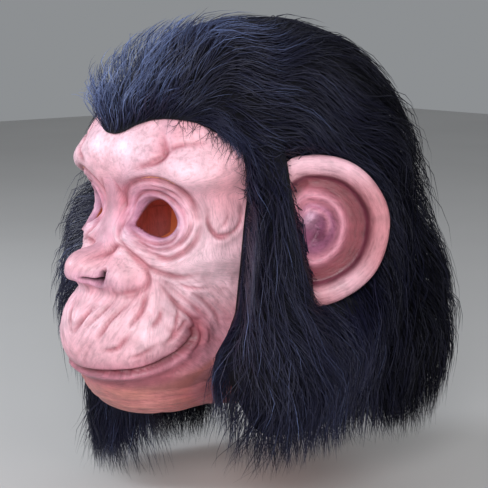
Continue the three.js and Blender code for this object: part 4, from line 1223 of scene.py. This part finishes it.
def sweepTree(material):
    tree = bpy.data.node_groups.new("strandSweep", "GeometryNodeTree")
    face = tree.interface
    face.new_socket("Geometry", in_out="INPUT", socket_type="NodeSocketGeometry")
    face.new_socket("Thickness", in_out="INPUT", socket_type="NodeSocketFloat")
    face.new_socket("Geometry", in_out="OUTPUT", socket_type="NodeSocketGeometry")
    nodes, links = tree.nodes, tree.links
    row = [nodes.new(kind) for kind in (
        "NodeGroupInput", "GeometryNodeMeshToCurve", "GeometryNodeSetCurveRadius", "GeometryNodeCurveToMesh",
        "GeometryNodeSetShadeSmooth", "GeometryNodeSetMaterial", "NodeGroupOutput",
    )]
    for before, after in zip(row, row[1:]):
        links.new(before.outputs[0], after.inputs[0])
    start, _, setRadius, sweep, _, paint, _ = row
    taper = nodes.new("GeometryNodeInputNamedAttribute")
    taper.data_type = "FLOAT"
    taper.inputs["Name"].default_value = "taper"
    profile = nodes.new("GeometryNodeCurvePrimitiveCircle")
    profile.inputs["Resolution"].default_value = strands["sides"]
    sweep.inputs["Fill Caps"].default_value = True
    paint.inputs["Material"].default_value = material
    links.new(taper.outputs["Attribute"], setRadius.inputs["Radius"])
    links.new(start.outputs["Thickness"], profile.inputs["Radius"])
    links.new(profile.outputs["Curve"], sweep.inputs["Profile Curve"])
    links.new(taper.outputs["Attribute"], sweep.inputs["Scale"])
    return tree


def sweptPiece(name, paths, taper, shade, tree, node, thickness):
    count, steps = paths.shape[:2]
    index = np.arange(count * steps).reshape(count, steps)
    edges = np.stack([index[:, :-1], index[:, 1:]], -1).reshape(-1, 2)
    mesh = bpy.data.meshes.new(name)
    mesh.from_pydata((paths.reshape(-1, 3) * millimetre).tolist(), edges.tolist(), [])
    for key, values in (("taper", taper), ("shade", shade)):
        mesh.attributes.new(key, "FLOAT", "POINT").data.foreach_set("value", values.ravel().astype(np.float32))
    piece = placed(name, mesh)
    modifier = piece.modifiers.new("sweep", "NODES")
    modifier.node_group = tree
    for item in tree.interface.items_tree:
        if item.name == "Thickness":
            modifier[item.identifier] = thickness * millimetre
    evaluated = piece.evaluated_get(bpy.context.evaluated_depsgraph_get())
    solid = bpy.data.meshes.new_from_object(evaluated)
    piece.modifiers.remove(modifier)
    piece.data = solid
    bpy.data.meshes.remove(mesh)
    return finished(piece, node)


def rootsOn(outside, quads, rng, count):      # closer together along the hairline and near the hem
    quads = np.array(quads)
    corners = outside[quads]
    area = 0.5 * np.linalg.norm(np.cross(corners[:, 2] - corners[:, 0], corners[:, 3] - corners[:, 1]), axis=1)
    middle = corners.mean(1)
    edge = besidePath(windowLoop, *faceSpot(middle))[0]
    free = np.maximum(earCover(middle, 1)[0], earCover(middle, -1)[0])
    farSide = (middle[:, 0] < -50) * (middle[:, 1] < 50)
    area = area * (free < 0.4) * (middle[:, 2] > 4 - furGrid["hem"] - furGrid["farDrop"] * farSide)
    area = area * (1 + strands["edgeWeight"] * smooth(14, 2, edge))
    farFront = smooth(-40, -60, middle[:, 0]) * smooth(75, 45, middle[:, 1])
    area = area * (1 + (1.2 + 3.2 * farFront) * smooth(180, 240, -middle[:, 2]))
    picked = rng.choice(len(quads), count, p=area / area.sum())
    a, b = rng.random(count)[:, None], rng.random(count)[:, None]
    c = corners[picked]
    return (c[:, 0] * (1 - a) + c[:, 1] * a) * (1 - b) + (c[:, 3] * (1 - a) + c[:, 2] * a) * b


def furStrands(material, outside, quads):
    rng = np.random.default_rng(strands["seed"])
    count = strands["count"] // 1
    roots = rootsOn(outside, quads, rng, int(count * strands["spare"]))
    edge = besidePath(windowLoop, *faceSpot(roots))[0]
    paths, clump = clumped(strandPaths(roots, edge, rng), rng)
    paths, end = cutStrands(paths, rng)
    keep = np.flatnonzero(end > strands["shortest"])[:count]
    print("strands kept:", len(keep), "of", len(roots))
    paths, roots, clump = paths[keep], roots[keep], clump[keep]
    count = len(keep)
    t = np.linspace(0, 1, paths.shape[1])
    body = np.interp(t, [0, 0.15, 0.6, 1], [0.7, 1, 0.8, 0.08])
    taper = body * rng.uniform(0.5, 1.35, count)[:, None]
    clumpShade = rng.random(strands["clumps"])[clump]
    patch = softNoise(roots[:, 0] / 12 + 50, roots[:, 1] / 12 + roots[:, 2] / 12 + 50, 51)
    base = 0.5 * rng.beta(1.6, 3.4, count) + 0.25 * clumpShade + 0.25 * patch
    back, down = roots[:, 1], -roots[:, 2]
    # painted light on the fur: the front of the crown lighter and bluer as painted sheen, the back and the lowest
    # hair darker as painted shade; the rest is random tone, lighter towards the tips
    paintedSheen = 0.44 * smooth(0, -80, back) * smooth(100, 60, down) * smooth(105, -35, roots[:, 0])
    base = (0.85 * base + paintedSheen + 0.1 * smooth(20, -40, back) - 0.25 * smooth(0, 70, back)
            - 0.1 * smooth(190, 250, down))
    shade = np.clip(base[:, None] * (0.6 + 0.5 * t), 0, 1)
    panel = panelOf(faceSpot(roots)[0] / arcPerDegree, down)
    tree = sweepTree(material)
    groups = [("crown_front", 0, roots[:, 1] < 0), ("crown_rear", 0, roots[:, 1] >= 0),
              ("side_left", 1, True), ("side_right", 2, True),
              ("back_left", 3, roots[:, 0] > 0), ("back_right", 3, roots[:, 0] <= 0)]
    total = 0
    for name, number, part in groups:
        own = (panel == number) & part
        piece = sweptPiece("strands_" + name, paths[own], taper[own], shade[own], tree, furNodes[number],
                           strands["thickness"])
        total += sum(len(p.vertices) - 2 for p in piece.data.polygons)
        print("strands", name, int(own.sum()))
    print("strand triangles:", total)
    strayHairs(material, tree)


strayLook = {"count": 240, "steps": 5, "seed": 9, "thickness": 0.2, "length": (7, 19), "shade": (0.05, 0.35)}


def onHood(across, down, level):      # points at a height over the hood, found from where they lie on the face
    angle = across / arcPerDegree
    base = castOut(headForms, towards(angle, polarAtDrop(angle, down, 10, 125, 14)))
    return base + outwardAt(headForms, base) * level[..., None]


def strayHairs(material, tree):
    rng = np.random.default_rng(strayLook["seed"])
    count, steps = strayLook["count"] // 1, strayLook["steps"]
    line = halfWindow[(halfWindow[:, 1] < 0.42 * high) & (halfWindow[:, 0] > 12 * arcPerDegree)]
    share = rng.beta(2.2, 1.3, count) * (len(line) - 1)
    k = np.minimum(share.astype(int), len(line) - 2)
    along = line[k + 1] - line[k]
    start = line[k] + along * (share - k)[:, None]
    inward = np.stack([-along[:, 1], along[:, 0]], -1)
    inward = inward / np.linalg.norm(inward, axis=1, keepdims=True)
    inward = inward * np.sign((np.array([20, 0.3 * high]) - start) * inward @ np.ones(2))[:, None]
    along = along / np.linalg.norm(along, axis=1, keepdims=True)
    turn, bend = rng.normal(0.5, 0.9, count), rng.normal(0, 1.1, count)
    length = rng.uniform(*strayLook["length"], count)
    spot = start - 2 * inward
    side = rng.choice((-1, 1), count)
    path = []
    for n in range(steps):
        t = n / (steps - 1)
        path.append(onHood(spot[:, 0] * side, spot[:, 1], 0.7 + rng.uniform(0.2, 1.6, count) * (0.2 + t)))
        way = inward * np.cos(turn + bend * t)[:, None] + along * np.sin(turn + bend * t)[:, None]
        spot = spot + way * (length / (steps - 1))[:, None]
    paths = np.stack(path, 1)
    t = np.linspace(0, 1, steps)
    taper = np.interp(t, [0, 0.5, 1], [1, 0.8, 0.15]) * rng.uniform(0.6, 1.1, count)[:, None]
    shade = np.tile(rng.uniform(*strayLook["shade"], count)[:, None], steps)
    sweptPiece("stray_hairs", paths, taper, shade, tree, "fur_crown", strayLook["thickness"])
    print("stray hairs:", count)


# Camera, floor and light

cameraLook = {"azimuth": 50, "elevation": 10, "distance": 0.9, "lens": 90.3, "sensor": 36,
              "target": (0, 0, -0.130), "shift": (11 / 488, -14 / 488)}
studio = {"floorDrop": 0.014, "floorSize": 6, "floorDark": (0.56, 0.55, 0.54), "floorLight": (0.62, 0.61, 0.6),
          "floorRoughness": 0.8, "sky": (0.72, 0.75, 0.78), "skyStrength": 0.37}
lights = [      # name, azimuth, elevation, distance, size, power, tint
    ("keyLight", 44, 22, 1.5, 0.6, 14.7, (0.98, 0.98, 1)),
    ("sheenLight", -48, 24, 1.5, 0.6, 13, (0.88, 0.93, 1)),
    ("fillLight", 90, 10, 1.8, 0.9, 8.5, (1, 0.97, 0.95)),
    ("backLight", 200, 50, 1.6, 0.8, 1, (0.92, 0.95, 1)),
]


def aimed(thing, azimuth, elevation, distance):
    a, e = math.radians(azimuth), math.radians(elevation)
    back = Vector((math.sin(a) * math.cos(e), -math.cos(a) * math.cos(e), math.sin(e)))
    thing.location = Vector(cameraLook["target"]) + back * distance
    thing.rotation_euler = back.to_track_quat("Z", "Y").to_euler()


def makeCamera():
    data = bpy.data.cameras.new("camera")
    data.lens, data.sensor_width = cameraLook["lens"], cameraLook["sensor"]
    data.shift_x, data.shift_y = cameraLook["shift"]
    camera = placed("camera", data)
    aimed(camera, cameraLook["azimuth"], cameraLook["elevation"], cameraLook["distance"])
    bpy.context.scene.camera = camera


def makeStage():
    material, nodes, links, shader = newMaterial("paleFloor")
    cloud = noiseNode(nodes, links, nodes.new("ShaderNodeTexCoord").outputs["Object"], 3, 2)
    tones = [(0, studio["floorDark"]), (1, studio["floorLight"])]
    links.new(rampNode(nodes, links, cloud.outputs["Fac"], tones), shader.inputs["Base Color"])
    shader.inputs["Roughness"].default_value = studio["floorRoughness"]
    half, level = studio["floorSize"] / 2, cadLow.z - studio["floorDrop"]
    mesh = bpy.data.meshes.new("floor")
    mesh.from_pydata([(-half, -half, level), (half, -half, level), (half, half, level), (-half, half, level)],
                     [], [(0, 1, 2, 3)])
    mesh.materials.append(material)
    placed("floor", mesh)
    for name, azimuth, elevation, distance, size, power, tint in lights:
        data = bpy.data.lights.new(name, "AREA")
        data.shape, data.size, data.energy, data.color = "DISK", size, power, tint
        aimed(placed(name, data), azimuth, elevation, distance)
    world = bpy.data.worlds.new("world")
    bpy.context.scene.world = world
    world.use_nodes = True
    sky = world.node_tree.nodes["Background"].inputs
    sky["Color"].default_value = (*studio["sky"], 1)
    sky["Strength"].default_value = studio["skyStrength"]
    bpy.context.scene.view_settings.view_transform = "Standard"


makeCamera()
makeStage()
print("camera and stage made")
latex = paintedLatex()
latexHood(latex, bareLatex())
moulding(1, latex)
moulding(-1, latex)
backingSurface, backingQuads = furBacking(backingFur())
furStrands(strandFur(), backingSurface, backingQuads)
